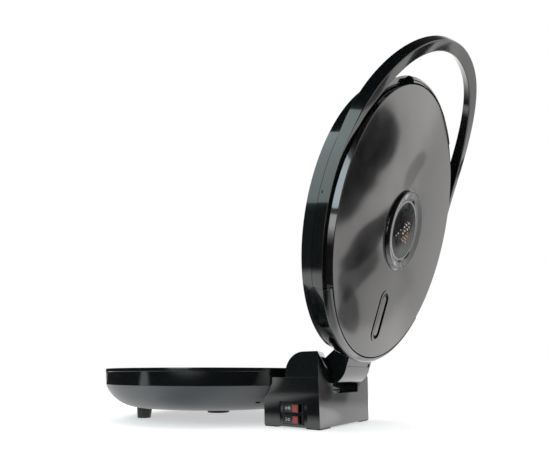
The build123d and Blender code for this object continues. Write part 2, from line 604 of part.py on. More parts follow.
# Hinge housing
def housing_block(inset, low):
    """Flared block behind the pan, with quarter-round towers, shrunk by an inset."""
    flare = (HOUSING_TOP_HALF_WIDTH - HOUSING_BASE_HALF_WIDTH) / (TOWER_TOP - HOUSING_BOTTOM)
    half_low = HOUSING_BASE_HALF_WIDTH + flare * (low - HOUSING_BOTTOM) - inset
    half_ledge = HOUSING_BASE_HALF_WIDTH + flare * (LEDGE_HEIGHT - HOUSING_BOTTOM) - inset
    half_top = HOUSING_TOP_HALF_WIDTH - inset
    step = LEDGE_STEP
    front = Polyline((-half_low, low), (half_low, low), (half_ledge, LEDGE_HEIGHT),
                     (half_ledge - step, LEDGE_HEIGHT), (half_top - step, TOWER_TOP),
                     (-half_top + step, TOWER_TOP), (-half_ledge + step, LEDGE_HEIGHT),
                     (-half_ledge, LEDGE_HEIGHT), close=True)
    ends = extrude(Plane.XZ * make_face(front), amount=-(HOUSING_BACK_Y + PAN_RADIUS))
    back = HOUSING_BACK_Y - inset
    lead = HOUSING_FRONT_Y + inset
    radius = TOWER_RADIUS - inset
    top = HINGE_Z + radius
    quarter = (HINGE_Y - radius * math.sqrt(0.5), HINGE_Z + radius * math.sqrt(0.5))
    profile = [
        Line((lead, low), (back, low)),
        Line((back, low), (back, top)),
        Line((back, top), (HINGE_Y, top)),
        ThreePointArc((HINGE_Y, top), quarter, (HINGE_Y - radius, HINGE_Z)),
        Line((HINGE_Y - radius, HINGE_Z), (HINGE_Y - radius, LEDGE_HEIGHT - inset)),
        Line((HINGE_Y - radius, LEDGE_HEIGHT - inset), (lead, LEDGE_HEIGHT - inset)),
        Line((lead, LEDGE_HEIGHT - inset), (lead, low)),
    ]
    return ends & side_prism(profile, HOUSING_TOP_HALF_WIDTH)


def neck_trough(grow):
    """Space between the towers that the lid's neck swings in."""
    radius = TROUGH_RADIUS + grow
    quarter = (HINGE_Y - radius * math.sqrt(0.5), HINGE_Z - radius * math.sqrt(0.5))
    high = TOWER_TOP + TOWER_RADIUS
    back = HOUSING_BACK_Y + TOWER_RADIUS
    profile = [
        Line((HINGE_Y - radius, high), (HINGE_Y - radius, HINGE_Z)),
        ThreePointArc((HINGE_Y - radius, HINGE_Z), quarter, (HINGE_Y, HINGE_Z - radius)),
        Line((HINGE_Y, HINGE_Z - radius), (back, HINGE_Z - radius)),
        Line((back, HINGE_Z - radius), (back, high)),
        Line((back, high), (HINGE_Y - radius, high)),
    ]
    front = block(-SLOT_HALF_WIDTH - grow, SLOT_HALF_WIDTH + grow, HOUSING_FRONT_Y, HINGE_Y,
                  LEDGE_HEIGHT - grow, high)
    return side_prism(profile, SLOT_HALF_WIDTH + grow) + front


def tower_facet(shift):
    """Corner that is cut off the back of the right tower on a slant, so that the lid can lean back."""
    outer = HOUSING_TOP_HALF_WIDTH
    rise = outer - SLOT_HALF_WIDTH
    low_point = Vector(SLOT_HALF_WIDTH, HOUSING_BACK_Y, FACET_LOW_HEIGHT)
    far_point = Vector(outer, HOUSING_BACK_Y, FACET_LOW_HEIGHT + rise)
    top_point = Vector(SLOT_HALF_WIDTH, HOUSING_BACK_Y - FACET_TOP_SETBACK, TOWER_TOP)
    normal = (far_point - low_point).cross(top_point - low_point).normalized()
    if normal.Y < 0:
        normal = normal * -1
    plane = Plane(origin=low_point - normal * shift, z_dir=normal)
    size = 4 * TOWER_RADIUS
    wedge = plane * (Pos(0, 0, size / 2) * Box(2 * size, 2 * size, size))
    return wedge & block(0, 2 * outer, HINGE_Y, HOUSING_BACK_Y + size, SLOT_FLOOR, 2 * TOWER_TOP)


def cover_post_places():
    """Middles of the four posts that the bottom cover screws into."""
    return [(x, y) for x in (-COVER_POST_X, COVER_POST_X) for y in (COVER_POST_FRONT_Y, COVER_POST_BACK_Y)]


def switch_centres():
    """Heights of the switches, from the lowest up."""
    return [SWITCH_LOW_Z + index * SWITCH_PITCH for index in range(SWITCH_COUNT)]


def recess_block(x_low, x_high, z_low):
    """Flat panel area around the switches, between two planes."""
    y_low = SWITCH_Y - SWITCH_FRAME_LENGTH / 2 - RECESS_FRONT_MARGIN
    y_high = SWITCH_Y + SWITCH_FRAME_LENGTH / 2 + RECESS_BACK_MARGIN
    return block(x_low, x_high, y_low, y_high, z_low, RECESS_TOP)


def shell_screw_bore(y_end):
    """Hole for the screw that ties the housing to the pan's band."""
    start = (HOUSING_TO_SHELL_SCREW_X, BOWL_FLOOR_RADIUS, HOUSING_TO_SHELL_SCREW_Z)
    bar = Cylinder(SCREW_CORE_RADIUS, y_end - BOWL_FLOOR_RADIUS,
                   align=(Align.CENTER, Align.CENTER, Align.MIN))
    return Plane(origin=start, z_dir=(0, 1, 0)) * bar


def housing_shell():
    facets = both_sides(tower_facet(0.0))
    outer = housing_block(0.0, HOUSING_BOTTOM) - neck_trough(0.0) - facets
    inner_facets = both_sides(tower_facet(HOUSING_WALL))
    inner = housing_block(HOUSING_WALL, 0.0) - neck_trough(HOUSING_WALL) - inner_facets
    inner -= pan_space(PAN_CLEARANCE + HOUSING_WALL)
    shell = outer - inner - recess_block(RECESS_PLANE_X, 2 * RECESS_PLANE_X, 0.0)
    shell += recess_block(RECESS_PLANE_X - HOUSING_WALL, RECESS_PLANE_X, HOUSING_BOTTOM)
    boss_end = SLOT_HALF_WIDTH + PIN_BOSS_LENGTH
    shell += both_sides(crosswise(PIN_BOSS_RADIUS, SLOT_HALF_WIDTH, boss_end, HINGE_Y, HINGE_Z))
    shell += crosswise(GLAND_NUT_RADIUS, -GLAND_SEAT_X, HOUSING_WALL - GLAND_SEAT_X, GLAND_Y, GLAND_Z)
    cover_top = HOUSING_BOTTOM + BOTTOM_COVER_THICKNESS
    half_rib = COVER_POST_RIB / 2
    for x in (-COVER_POST_X, COVER_POST_X):
        shell += upright(COVER_POST_RADIUS, cover_top, cover_top + COVER_POST_HEIGHT, x, COVER_POST_FRONT_Y)
        shell += upright(COVER_POST_RADIUS, cover_top, cover_top + COVER_POST_HEIGHT, x, COVER_POST_BACK_Y)
        shell += block(x - half_rib, x + half_rib, HOUSING_FRONT_Y + HOUSING_WALL / 2, COVER_POST_FRONT_Y,
                       cover_top, cover_top + COVER_POST_HEIGHT)
        shell += block(x - half_rib, x + half_rib, COVER_POST_BACK_Y, HOUSING_BACK_Y - HOUSING_WALL / 2,
                       cover_top, cover_top + COVER_POST_HEIGHT)
    for x, y in cover_post_places():
        shell -= upright(SCREW_CORE_RADIUS, cover_top, cover_top + SCREW_BITE, x, y)
    shell -= both_sides(crosswise(PIN_RADIUS + PIN_PRESS_GAP, 0, boss_end, HINGE_Y, HINGE_Z))
    shell -= pan_space(PAN_CLEARANCE)
    clear = 2 * SWITCH_CUTOUT_CLEARANCE
    for z in switch_centres():
        cutout = Box(4 * HOUSING_WALL, SWITCH_BODY_LENGTH + clear, SWITCH_BODY_HEIGHT + clear)
        shell -= Pos(RECESS_PLANE_X, SWITCH_Y, z) * cutout
    outside = -2 * GLAND_SEAT_X
    shell -= crosswise(GLAND_FLANGE_RADIUS + PAN_CLEARANCE, outside, -GLAND_SEAT_X, GLAND_Y, GLAND_Z)
    shell -= crosswise(GLAND_BODY_RADIUS, outside, -GLAND_SEAT_X / 2, GLAND_Y, GLAND_Z)
    half = WIRE_WINDOW_WIDTH / 2
    front_end = HINGE_Y - TROUGH_RADIUS - 2 * HOUSING_WALL
    shell -= block(-half, half, HOUSING_FRONT_Y - HOUSING_WALL, front_end,
                   WIRE_WINDOW_LOW, WIRE_WINDOW_HIGH)
    return shell - both_sides(shell_screw_bore(front_end))


def housing_bottom():
    gap = BOTTOM_COVER_GAP + HOUSING_WALL
    half = min(HOUSING_BASE_HALF_WIDTH, RECESS_PLANE_X) - gap
    top = HOUSING_BOTTOM + BOTTOM_COVER_THICKNESS
    cover = block(-half, half, HOUSING_FRONT_Y + gap, HOUSING_BACK_Y - gap, HOUSING_BOTTOM, top)
    for x, y in cover_post_places():
        cover -= upright(SCREW_HOLE_RADIUS, 0, top, x, y)
        cover -= upright(SCREW_HEAD_RADIUS + PAN_CLEARANCE, 0, top - BOTTOM_COVER_THICKNESS / 2, x, y)
    return cover


def housing_pads():
    """Four thin rubber pads under the corners of the housing."""
    half = HOUSING_BASE_HALF_WIDTH - PAD_INSET
    back = HOUSING_BACK_Y - PAD_INSET
    front = HOUSING_FRONT_Y + PAD_INSET
    pads = []
    for y_low in (front, back - PAD_WIDTH):
        pads += both_sides(block(half - PAD_LENGTH, half, y_low, y_low + PAD_WIDTH, 0, PAD_THICKNESS))
    return pads


def housing_screws():
    """Screws of the bottom cover."""
    seat = HOUSING_BOTTOM + BOTTOM_COVER_THICKNESS / 2
    return [screw((x, y, seat), (0, 0, 1), SCREW_BITE) for x, y in cover_post_places()]


def shell_screws():
    """Screws from inside the pan's band into the housing."""
    head_foot = HOUSING_TO_SHELL_SCREW_Z - SCREW_HEAD_RADIUS
    ratio = (head_foot - BAND_FOOT_HEIGHT) / (SHELL_TOP - BAND_FOOT_HEIGHT)
    inner = BAND_FOOT_RADIUS + ratio * (BAND_TOP_RADIUS - BAND_FOOT_RADIUS) - SHELL_WALL
    edge_x = HOUSING_TO_SHELL_SCREW_X + SCREW_HEAD_RADIUS
    y = math.sqrt(inner ** 2 - edge_x ** 2)
    return both_sides(screw((HOUSING_TO_SHELL_SCREW_X, y, HOUSING_TO_SHELL_SCREW_Z), (0, 1, 0), SCREW_BITE))


def hinge_pins():
    """Steel pins pressed into the towers, reaching into the neck's bushes."""
    start = NECK_HALF_WIDTH - PIN_ENTRY
    return both_sides(crosswise(PIN_RADIUS, start, SLOT_HALF_WIDTH + PIN_BOSS_LENGTH, HINGE_Y, HINGE_Z))


# Switches
def switch_body(z):
    back = RECESS_PLANE_X - SWITCH_BODY_DEPTH
    body = Pos((back + RECESS_PLANE_X) / 2, SWITCH_Y, z) * Box(SWITCH_BODY_DEPTH, SWITCH_BODY_LENGTH,
                                                              SWITCH_BODY_HEIGHT)
    lip = Box(SWITCH_FRAME_LIP, SWITCH_FRAME_LENGTH, SWITCH_FRAME_HEIGHT)
    lip = Pos(RECESS_PLANE_X + SWITCH_FRAME_LIP / 2, SWITCH_Y, z) * lip
    lip = chamfer(lip.faces().sort_by(Axis.X)[-1].edges(), SWITCH_FRAME_LIP / 3)
    half_length = SWITCH_WINDOW_LENGTH / 2
    half_height = SWITCH_WINDOW_HEIGHT / 2
    window = block(SWITCH_FRONT_X - SWITCH_WINDOW_DEPTH, SWITCH_FRONT_X, SWITCH_Y - half_length,
                   SWITCH_Y + half_length, z - half_height, z + half_height)
    reach = SWITCH_WINDOW_HEIGHT / 2 + ROCKER_STUB_LENGTH - ROCKER_SIDE_CLEARANCE + ROCKER_STUB_CLEARANCE
    socket = upright(ROCKER_STUB_RADIUS + ROCKER_STUB_CLEARANCE, z - reach, z + reach,
                     SWITCH_FRONT_X - ROCKER_PIVOT_DEPTH, SWITCH_Y)
    return body + lip - window - socket


def switch_terminals():
    """Blades on the back of each switch."""
    back = RECESS_PLANE_X - SWITCH_BODY_DEPTH
    pitch = SWITCH_BODY_LENGTH / TERMINAL_COUNT
    blades = []
    for z in switch_centres():
        for index in range(TERMINAL_COUNT):
            y = SWITCH_Y + (index - (TERMINAL_COUNT - 1) / 2) * pitch
            blades.append(Pos(back - TERMINAL_LENGTH / 2, y, z) * Box(TERMINAL_LENGTH, TERMINAL_THICKNESS,
                                                                      TERMINAL_WIDTH))
    return blades


def rocker_surface(along):
    """How far the rocker's face stands out, at a distance from its middle."""
    slope = (ROCKER_END_HEIGHT - ROCKER_MIDDLE_HEIGHT) / (ROCKER_LENGTH / 2)
    return ROCKER_MIDDLE_HEIGHT + slope * abs(along)


def tilted(shape):
    """A rocker piece turned about its pivot so that its lamp end stands out."""
    pivot = Axis((SWITCH_FRONT_X - ROCKER_PIVOT_DEPTH, SWITCH_Y, 0), (0, 0, 1))
    return shape.rotate(pivot, -ROCKER_TILT)


def lamp_outline(proud):
    """Outline of the lamp lens, in distance out and along, raised by an amount."""
    far = ROCKER_LENGTH / 2 - LAMP_MARGIN
    near = far - LAMP_LENGTH
    return [(rocker_surface(near) - LAMP_DEPTH, near), (rocker_surface(near) + proud, near),
            (rocker_surface(far) + proud, far), (rocker_surface(far) - LAMP_DEPTH, far)]


def rocker_slice(points, height, z):
    """Prism from an outline beside the switch front, centred on a height."""
    face = make_face(Polyline(*points, close=True))
    return Pos(SWITCH_FRONT_X, SWITCH_Y, z - height / 2) * extrude(face, amount=height)


def rocker(z):
    half = ROCKER_LENGTH / 2
    foot = ROCKER_FOOT_LENGTH / 2
    height = SWITCH_WINDOW_HEIGHT - 2 * ROCKER_SIDE_CLEARANCE
    outline = [(ROCKER_END_HEIGHT, -half), (ROCKER_MIDDLE_HEIGHT, 0), (ROCKER_END_HEIGHT, half), (0, half),
               (-ROCKER_FOOT_DEPTH, foot), (-ROCKER_FOOT_DEPTH, -foot), (0, -half)]
    body = rocker_slice(outline, height, z)
    body -= rocker_slice(lamp_outline(LAMP_DEPTH), height - 2 * LAMP_MARGIN, z)
    reach = height / 2 + ROCKER_STUB_LENGTH
    body += upright(ROCKER_STUB_RADIUS, z - reach, z + reach, SWITCH_FRONT_X - ROCKER_PIVOT_DEPTH, SWITCH_Y)
    return tilted(body)


def rocker_lamp(z):
    height = SWITCH_WINDOW_HEIGHT - 2 * ROCKER_SIDE_CLEARANCE - 2 * LAMP_MARGIN
    return tilted(rocker_slice(lamp_outline(ROCKER_SIDE_CLEARANCE), height, z))


def terminal_block():
    low = HOUSING_BOTTOM + BOTTOM_COVER_THICKNESS
    body = block(BLOCK_X - BLOCK_LENGTH / 2, BLOCK_X + BLOCK_LENGTH / 2, BLOCK_Y - BLOCK_DEPTH / 2,
                 BLOCK_Y + BLOCK_DEPTH / 2, low, low + BLOCK_HEIGHT)
    pitch = BLOCK_LENGTH / BLOCK_WAYS
    for index in range(BLOCK_WAYS):
        x = BLOCK_X + (index - (BLOCK_WAYS - 1) / 2) * pitch
        way = Plane(origin=(x, BLOCK_Y, low + BLOCK_HEIGHT / 2), z_dir=(0, 1, 0)) * Cylinder(BLOCK_HOLE_RADIUS,
                                                                                             BLOCK_DEPTH)
        body -= way
        body -= upright(BLOCK_HOLE_RADIUS, low + BLOCK_HEIGHT / 2, low + BLOCK_HEIGHT, x, BLOCK_Y)
    return body


def cord_gland():
    """Moulded inlet for the mains cord, with its bore."""
    inner_end = HOUSING_WALL + GLAND_INNER_LENGTH - GLAND_SEAT_X
    flange_end = -GLAND_SEAT_X - GLAND_FLANGE_THICKNESS
    flange = crosswise(GLAND_FLANGE_RADIUS, flange_end, -GLAND_SEAT_X, GLAND_Y, GLAND_Z)
    body = crosswise(GLAND_BODY_RADIUS - SEAT_GAP, -GLAND_SEAT_X, inner_end, GLAND_Y, GLAND_Z)
    bore = crosswise(GLAND_BORE_RADIUS, -2 * GLAND_SEAT_X, 0, GLAND_Y, GLAND_Z)
    return flange + body - bore


def gland_nut():
    seat = HOUSING_WALL - GLAND_SEAT_X
    nut = crosswise(GLAND_NUT_RADIUS, seat, seat + GLAND_NUT_THICKNESS, GLAND_Y, GLAND_Z)
    return nut - crosswise(GLAND_BODY_RADIUS, seat, seat + GLAND_NUT_THICKNESS, GLAND_Y, GLAND_Z)


# Lid pieces, measured up from the lid's lower edge
def ring_outer_radius(height):
    """Radius of the lid's flared band at a height."""
    return LID_EDGE_RADIUS + (LID_SHOULDER_RADIUS - LID_EDGE_RADIUS) * height / LID_SHOULDER_HEIGHT


def lid_space(grow, top):
    """Solid inside the lid band's outer face, grown outward."""
    return spun([(0, 0), (LID_EDGE_RADIUS + grow, 0), (LID_SHOULDER_RADIUS + grow, LID_SHOULDER_HEIGHT),
                 (LID_SHOULDER_RADIUS + grow, top), (0, top)])


def shoulder(arc, start):
    """Rounded shoulder from the band up to the dome's edge, over an arc."""
    inner = DOME_RADIUS + DOME_SEAM
    edges = [
        Line((LID_SHOULDER_RADIUS - LID_WALL, LEDGE_TOP), (ring_outer_radius(LEDGE_TOP), LEDGE_TOP)),
        Line((ring_outer_radius(LEDGE_TOP), LEDGE_TOP), (LID_SHOULDER_RADIUS, LID_SHOULDER_HEIGHT)),
        ThreePointArc((LID_SHOULDER_RADIUS, LID_SHOULDER_HEIGHT),
                      (SHOULDER_BULGE_RADIUS, SHOULDER_BULGE_HEIGHT), (inner, DOME_HEIGHT - DOME_SEAM)),
        Line((inner, DOME_HEIGHT - DOME_SEAM), (inner, LEDGE_TOP)),
        Line((inner, LEDGE_TOP), (LID_SHOULDER_RADIUS - LID_WALL, LEDGE_TOP)),
    ]
    return spun_edges(edges, arc, start)


def arm_slot_profile(end):
    """Section of the channel that carries the handle's arm, or of the wall at its end."""
    inner = ring_inner_channel()
    back = inner - SLOT_WALL
    floor = HANDLE_BOTTOM - HANDLE_CLEARANCE
    if end:
        return [(back, floor - SLOT_WALL), (ring_outer_radius(floor) - LID_WALL, floor - SLOT_WALL),
                (LID_SHOULDER_RADIUS - LID_WALL, LEDGE_TOP), (back, LEDGE_TOP)]
    front = ring_outer_radius(floor - SLOT_WALL) - LID_WALL / 2
    return [(back, floor - SLOT_WALL), (front, floor - SLOT_WALL), (front, floor), (inner, floor),
            (inner, LEDGE_TOP), (back, LEDGE_TOP)]


def ring_inner_channel():
    """Radius of the channel's inner wall, just inside the handle's arm."""
    return LID_SHOULDER_RADIUS - HANDLE_TAIL_WIDTH - HANDLE_CLEARANCE


def lid_ring():
    """Flared band of the lid with its flange, ledge, shoulders and the channels for the handle's arms."""
    chamfer_top = LID_EDGE_CHAMFER
    ring = spun([(LID_FLANGE_INNER_RADIUS, 0), (LID_EDGE_RADIUS - chamfer_top, 0),
                 (ring_outer_radius(chamfer_top), chamfer_top), (LID_SHOULDER_RADIUS, LID_SHOULDER_HEIGHT),
                 (LID_SHOULDER_RADIUS - LID_WALL, LID_SHOULDER_HEIGHT),
                 (ring_outer_radius(LID_FLANGE_THICKNESS) - LID_WALL, LID_FLANGE_THICKNESS),
                 (LID_FLANGE_INNER_RADIUS, LID_FLANGE_THICKNESS)])
    ledge_low = LEDGE_TOP - LEDGE_THICKNESS
    ring += spun([(LEDGE_INNER_RADIUS, ledge_low), (ring_outer_radius(ledge_low) - LID_WALL / 2, ledge_low),
                  (ring_outer_radius(LEDGE_TOP) - LID_WALL / 2, LEDGE_TOP), (LEDGE_INNER_RADIUS, LEDGE_TOP)])
    ring += shoulder(2 * REAR_SHOULDER_ANGLE, QUARTER_TURN - REAR_SHOULDER_ANGLE)
    ring += shoulder(2 * FRONT_SHOULDER_ANGLE, -QUARTER_TURN - FRONT_SHOULDER_ANGLE)
    arc = HANDLE_FREE_ANGLE - HANDLE_TAIL_ANGLE + HANDLE_END_GAP_ANGLE
    outside = 2 * LID_SHOULDER_RADIUS
    floor = HANDLE_BOTTOM - HANDLE_CLEARANCE
    channel = ring_inner_channel()
    cut = [(channel, floor), (outside, floor), (outside, outside), (channel, outside)]
    ring -= both_sides(spun(cut, arc, -HANDLE_FREE_ANGLE))
    ring += both_sides(spun(arm_slot_profile(False), arc, -HANDLE_FREE_ANGLE))
    tail_wall = HANDLE_END_GAP_ANGLE - HANDLE_TAIL_ANGLE
    ring += both_sides(spun(arm_slot_profile(True), SLOT_END_ANGLE, tail_wall))
    ring += both_sides(spun(arm_slot_profile(True), SLOT_END_ANGLE, -HANDLE_FREE_ANGLE - SLOT_END_ANGLE))
    flange_bore = upright(SCREW_CORE_RADIUS, LID_FLANGE_THICKNESS / 4, LID_FLANGE_THICKNESS,
                          RIM_SCREW_CIRCLE_RADIUS)
    ring -= around(flange_bore, RIM_SCREW_COUNT)
    ledge_hole = upright(SCREW_HOLE_RADIUS, ledge_low, LEDGE_TOP, DOME_SCREW_CIRCLE_RADIUS)
    ring -= around(ledge_hole, DOME_SCREW_COUNT)
    ring -= [screw_hole(place, direction, 2 * SCREW_BITE) for place, direction in handle_screw_places()]
    ring -= [screw_hole(place, (0, 1, 0), 2 * SCREW_BITE) for place in neck_screw_places()]
    return ring


def screw_hole(place, direction, length):
    """Bore for a screw, through both sides of its seat."""
    return Plane(origin=place, z_dir=direction) * Cylinder(SCREW_CORE_RADIUS, length)


def handle_screw_places():
    """Seats of the handle's screws on the channel's inner wall, with their directions."""
    radius = math.sqrt((ring_inner_channel() - SLOT_WALL) ** 2 - SCREW_HEAD_RADIUS ** 2)
    height = (HANDLE_BOTTOM + LEDGE_TOP - LEDGE_THICKNESS) / 2
    places = []
    for angle in HANDLE_SCREW_ANGLES:
        for side in (-1, 1):
            turn = math.radians(angle)
            direction = (side * math.cos(turn), -math.sin(turn), 0)
            places.append(((radius * direction[0], radius * direction[1], height), direction))
    return places


def neck_screw_places():
    """Seats of the neck's screws inside the back of the band."""
    places = []
    for x in (-NECK_SCREW_X, NECK_SCREW_X):
        for height in (NECK_SCREW_LOW, NECK_SCREW_HIGH):
            inner = ring_outer_radius(height - SCREW_HEAD_RADIUS) - LID_WALL
            places.append((x, math.sqrt(inner ** 2 - (abs(x) + SCREW_HEAD_RADIUS) ** 2), height))
    return places


def handle_screws():
    reach = SLOT_WALL + HANDLE_SCREW_ENTRY
    return [screw(place, direction, reach) for place, direction in handle_screw_places()]


def neck_screws():
    reach = LID_WALL + SCREW_HEAD_HEIGHT + NECK_FRONT_WALL
    return [screw(place, (0, 1, 0), reach) for place in neck_screw_places()]


def slot_shape(length, width, low, high):
    """Round-ended bar along Y over the rear slot's place."""
    return Pos(0, REAR_SLOT_Y, low) * extrude(SlotOverall(length, width, rotation=90), amount=high - low)


def crown_ball():
    """Radius of the ball that the dome's crown is cut from."""
    rim = DOME_RADIUS - DOME_EDGE_ROUND
    return (rim ** 2 + DOME_CROWN ** 2) / (2 * DOME_CROWN)


def crown_level(radius):
    """Height of the dome's crown at a radius."""
    ball = crown_ball()
    return DOME_TOP - ball + math.sqrt(ball ** 2 - radius ** 2)


def dome_space():
    """Everything under the dome's outer face, down to its foot."""
    edge = DOME_EDGE_ROUND
    rim = DOME_RADIUS - edge
    half_z = crown_level(rim / 2)
    corner = edge * (1 - math.sqrt(0.5))
    edges = [
        Line((0, LEDGE_TOP), (DOME_RADIUS, LEDGE_TOP)),
        Line((DOME_RADIUS, LEDGE_TOP), (DOME_RADIUS, DOME_HEIGHT - edge)),
        ThreePointArc((DOME_RADIUS, DOME_HEIGHT - edge), (DOME_RADIUS - corner, DOME_HEIGHT - corner),
                      (rim, DOME_HEIGHT)),
        ThreePointArc((rim, DOME_HEIGHT), (rim / 2, half_z), (0, DOME_TOP)),
        Line((0, DOME_TOP), (0, LEDGE_TOP)),
    ]
    return spun_edges(edges)


def lid_dome():
    inner = DOME_RADIUS - DOME_WALL
    dome = dome_space() - spun([(0, 0), (inner, 0), (inner, DOME_HEIGHT - DOME_WALL),
                                (0, DOME_TOP - DOME_WALL)])
    boss = upright(DOME_BOSS_RADIUS, LEDGE_TOP, DOME_HEIGHT - DOME_WALL / 2, DOME_SCREW_CIRCLE_RADIUS)
    dome += around(boss, DOME_SCREW_COUNT)
    dome -= around(upright(SCREW_CORE_RADIUS, LEDGE_TOP, LEDGE_TOP + SCREW_BITE, DOME_SCREW_CIRCLE_RADIUS),
                   DOME_SCREW_COUNT)
    dome -= upright(BEZEL_NECK_RADIUS, LEDGE_TOP, 2 * DOME_TOP)
    hole_length = REAR_SLOT_LENGTH - 2 * REAR_SLOT_LIP
    return dome - slot_shape(hole_length, REAR_SLOT_WIDTH - 2 * REAR_SLOT_LIP, LEDGE_TOP, 2 * DOME_TOP)


def dome_screws():
    seat = (DOME_SCREW_CIRCLE_RADIUS, 0, LEDGE_TOP - LEDGE_THICKNESS)
    return around(screw(seat, (0, 0, 1), LEDGE_THICKNESS + SCREW_BITE - PAN_CLEARANCE), DOME_SCREW_COUNT)


def rim_screws():
    seat = (RIM_SCREW_CIRCLE_RADIUS, 0, UPPER_PLATE_BACK)
    return around(screw(seat, (0, 0, -1), UPPER_PLATE_BACK - LID_FLANGE_THICKNESS / 2), RIM_SCREW_COUNT)


def upper_plate():
    face = LID_FLANGE_INNER_RADIUS - BOTTOM_COVER_GAP
    flange = UPPER_PLATE_FLANGE_RADIUS
    plate = spun([(0, UPPER_PLATE_RECESS), (face, UPPER_PLATE_RECESS), (face, LID_FLANGE_THICKNESS),
                  (flange, LID_FLANGE_THICKNESS), (flange, UPPER_PLATE_BACK), (0, UPPER_PLATE_BACK)])
    boss_top = UPPER_PLATE_BACK + REFLECTOR_DROP - REFLECTOR_SHEET
    boss = upright(PLATE_BOSS_RADIUS, UPPER_PLATE_BACK - SEAT_GAP, boss_top, BOSS_CIRCLE_RADIUS)
    plate += around(boss, BOSS_COUNT, QUARTER_TURN)
    bore = upright(SCREW_CORE_RADIUS, boss_top - SCREW_BITE, boss_top, BOSS_CIRCLE_RADIUS)
    plate -= around(bore, BOSS_COUNT, QUARTER_TURN)
    rim_hole = upright(SCREW_HOLE_RADIUS, LID_FLANGE_THICKNESS / 2, UPPER_PLATE_BACK,
                       RIM_SCREW_CIRCLE_RADIUS)
    return plate - around(rim_hole, RIM_SCREW_COUNT)


def over_plate(shapes):
    """A heating part turned over onto the back of the lid's plate."""
    parts = shapes if isinstance(shapes, list) else [shapes]
    return [Pos(0, 0, UPPER_PLATE_BACK) * mirror(part, about=Plane.XY) for part in parts]


def under_plate(shapes):
    """A heating part placed under the pan's plate."""
    parts = shapes if isinstance(shapes, list) else [shapes]
    return [Pos(0, 0, PLATE_UNDERSIDE) * part for part in parts]


# Handle loop
def handle_section(angle):
    """Rounded section of the handle in the upright plane at an angle forward of the right side."""
    leave = (angle - HANDLE_LEAVE_ANGLE) / (HANDLE_SETTLE_ANGLE - HANDLE_LEAVE_ANGLE)
    reach = HANDLE_REACH * ease(leave)
    widen = ease((angle - HANDLE_WIDEN_FROM) / (HANDLE_WIDEN_TO - HANDLE_WIDEN_FROM))
    width = HANDLE_TAIL_WIDTH + (HANDLE_WIDTH - HANDLE_TAIL_WIDTH) * widen
    bottom_lift = ease((angle - HANDLE_BOTTOM_LIFT_ANGLE) / (QUARTER_TURN - HANDLE_BOTTOM_LIFT_ANGLE))
    top_lift = ease((angle - HANDLE_TOP_LIFT_ANGLE) / (QUARTER_TURN - HANDLE_TOP_LIFT_ANGLE))
    low = HANDLE_BOTTOM + HANDLE_BOTTOM_RISE * bottom_lift ** HANDLE_BOTTOM_EASE
    high = LID_SHOULDER_HEIGHT + HANDLE_TOP_RISE * top_lift ** HANDLE_TOP_EASE
    roll = math.radians(HANDLE_ROLL) * ease((angle - HANDLE_ROLL_FROM) / (QUARTER_TURN - HANDLE_ROLL_FROM))
    settle = ease((angle - HANDLE_LEAVE_ANGLE) / (HANDLE_FREE_ANGLE - HANDLE_LEAVE_ANGLE))
    outer_low = ring_outer_radius(HANDLE_BOTTOM) * (1 - settle) + LID_SHOULDER_RADIUS * settle
    middle = (LID_SHOULDER_RADIUS + reach - width / 2, (low + high) / 2)
    corners = [(outer_low + reach, low), (LID_SHOULDER_RADIUS + reach, high),
               (LID_SHOULDER_RADIUS + reach - width, high), (LID_SHOULDER_RADIUS + reach - width, low)]
    turned = []
    for radius, height in corners:
        out = radius - middle[0]
        up = height - middle[1]
        turned.append((middle[0] + out * math.cos(roll) - up * math.sin(roll),
                       middle[1] + out * math.sin(roll) + up * math.cos(roll)))
    outline = make_face(Polyline(*turned, close=True))
    outline = fillet(outline.vertices(), HANDLE_EDGE_ROUND)
    turn = math.radians(angle)
    upright_plane = Plane(origin=(0, 0, 0), x_dir=(math.cos(turn), -math.sin(turn), 0),
                          z_dir=(-math.sin(turn), -math.cos(turn), 0))
    return upright_plane * outline


def handle_loop():
    """Bail-shaped handle: its arms lie in the band and its bow stands out over the front of the lid."""
    count = round((QUARTER_TURN - HANDLE_TAIL_ANGLE) / HANDLE_STATION_STEP)
    step = (QUARTER_TURN - HANDLE_TAIL_ANGLE) / count
    sections = [handle_section(HANDLE_TAIL_ANGLE + index * step) for index in range(count + 1)]
    half = loft(sections)
    loop = half + mirror(half, about=Plane.YZ)
    return loop - [screw_hole(place, direction, 2 * (SLOT_WALL + HANDLE_SCREW_ENTRY))
                   for place, direction in handle_screw_places()]


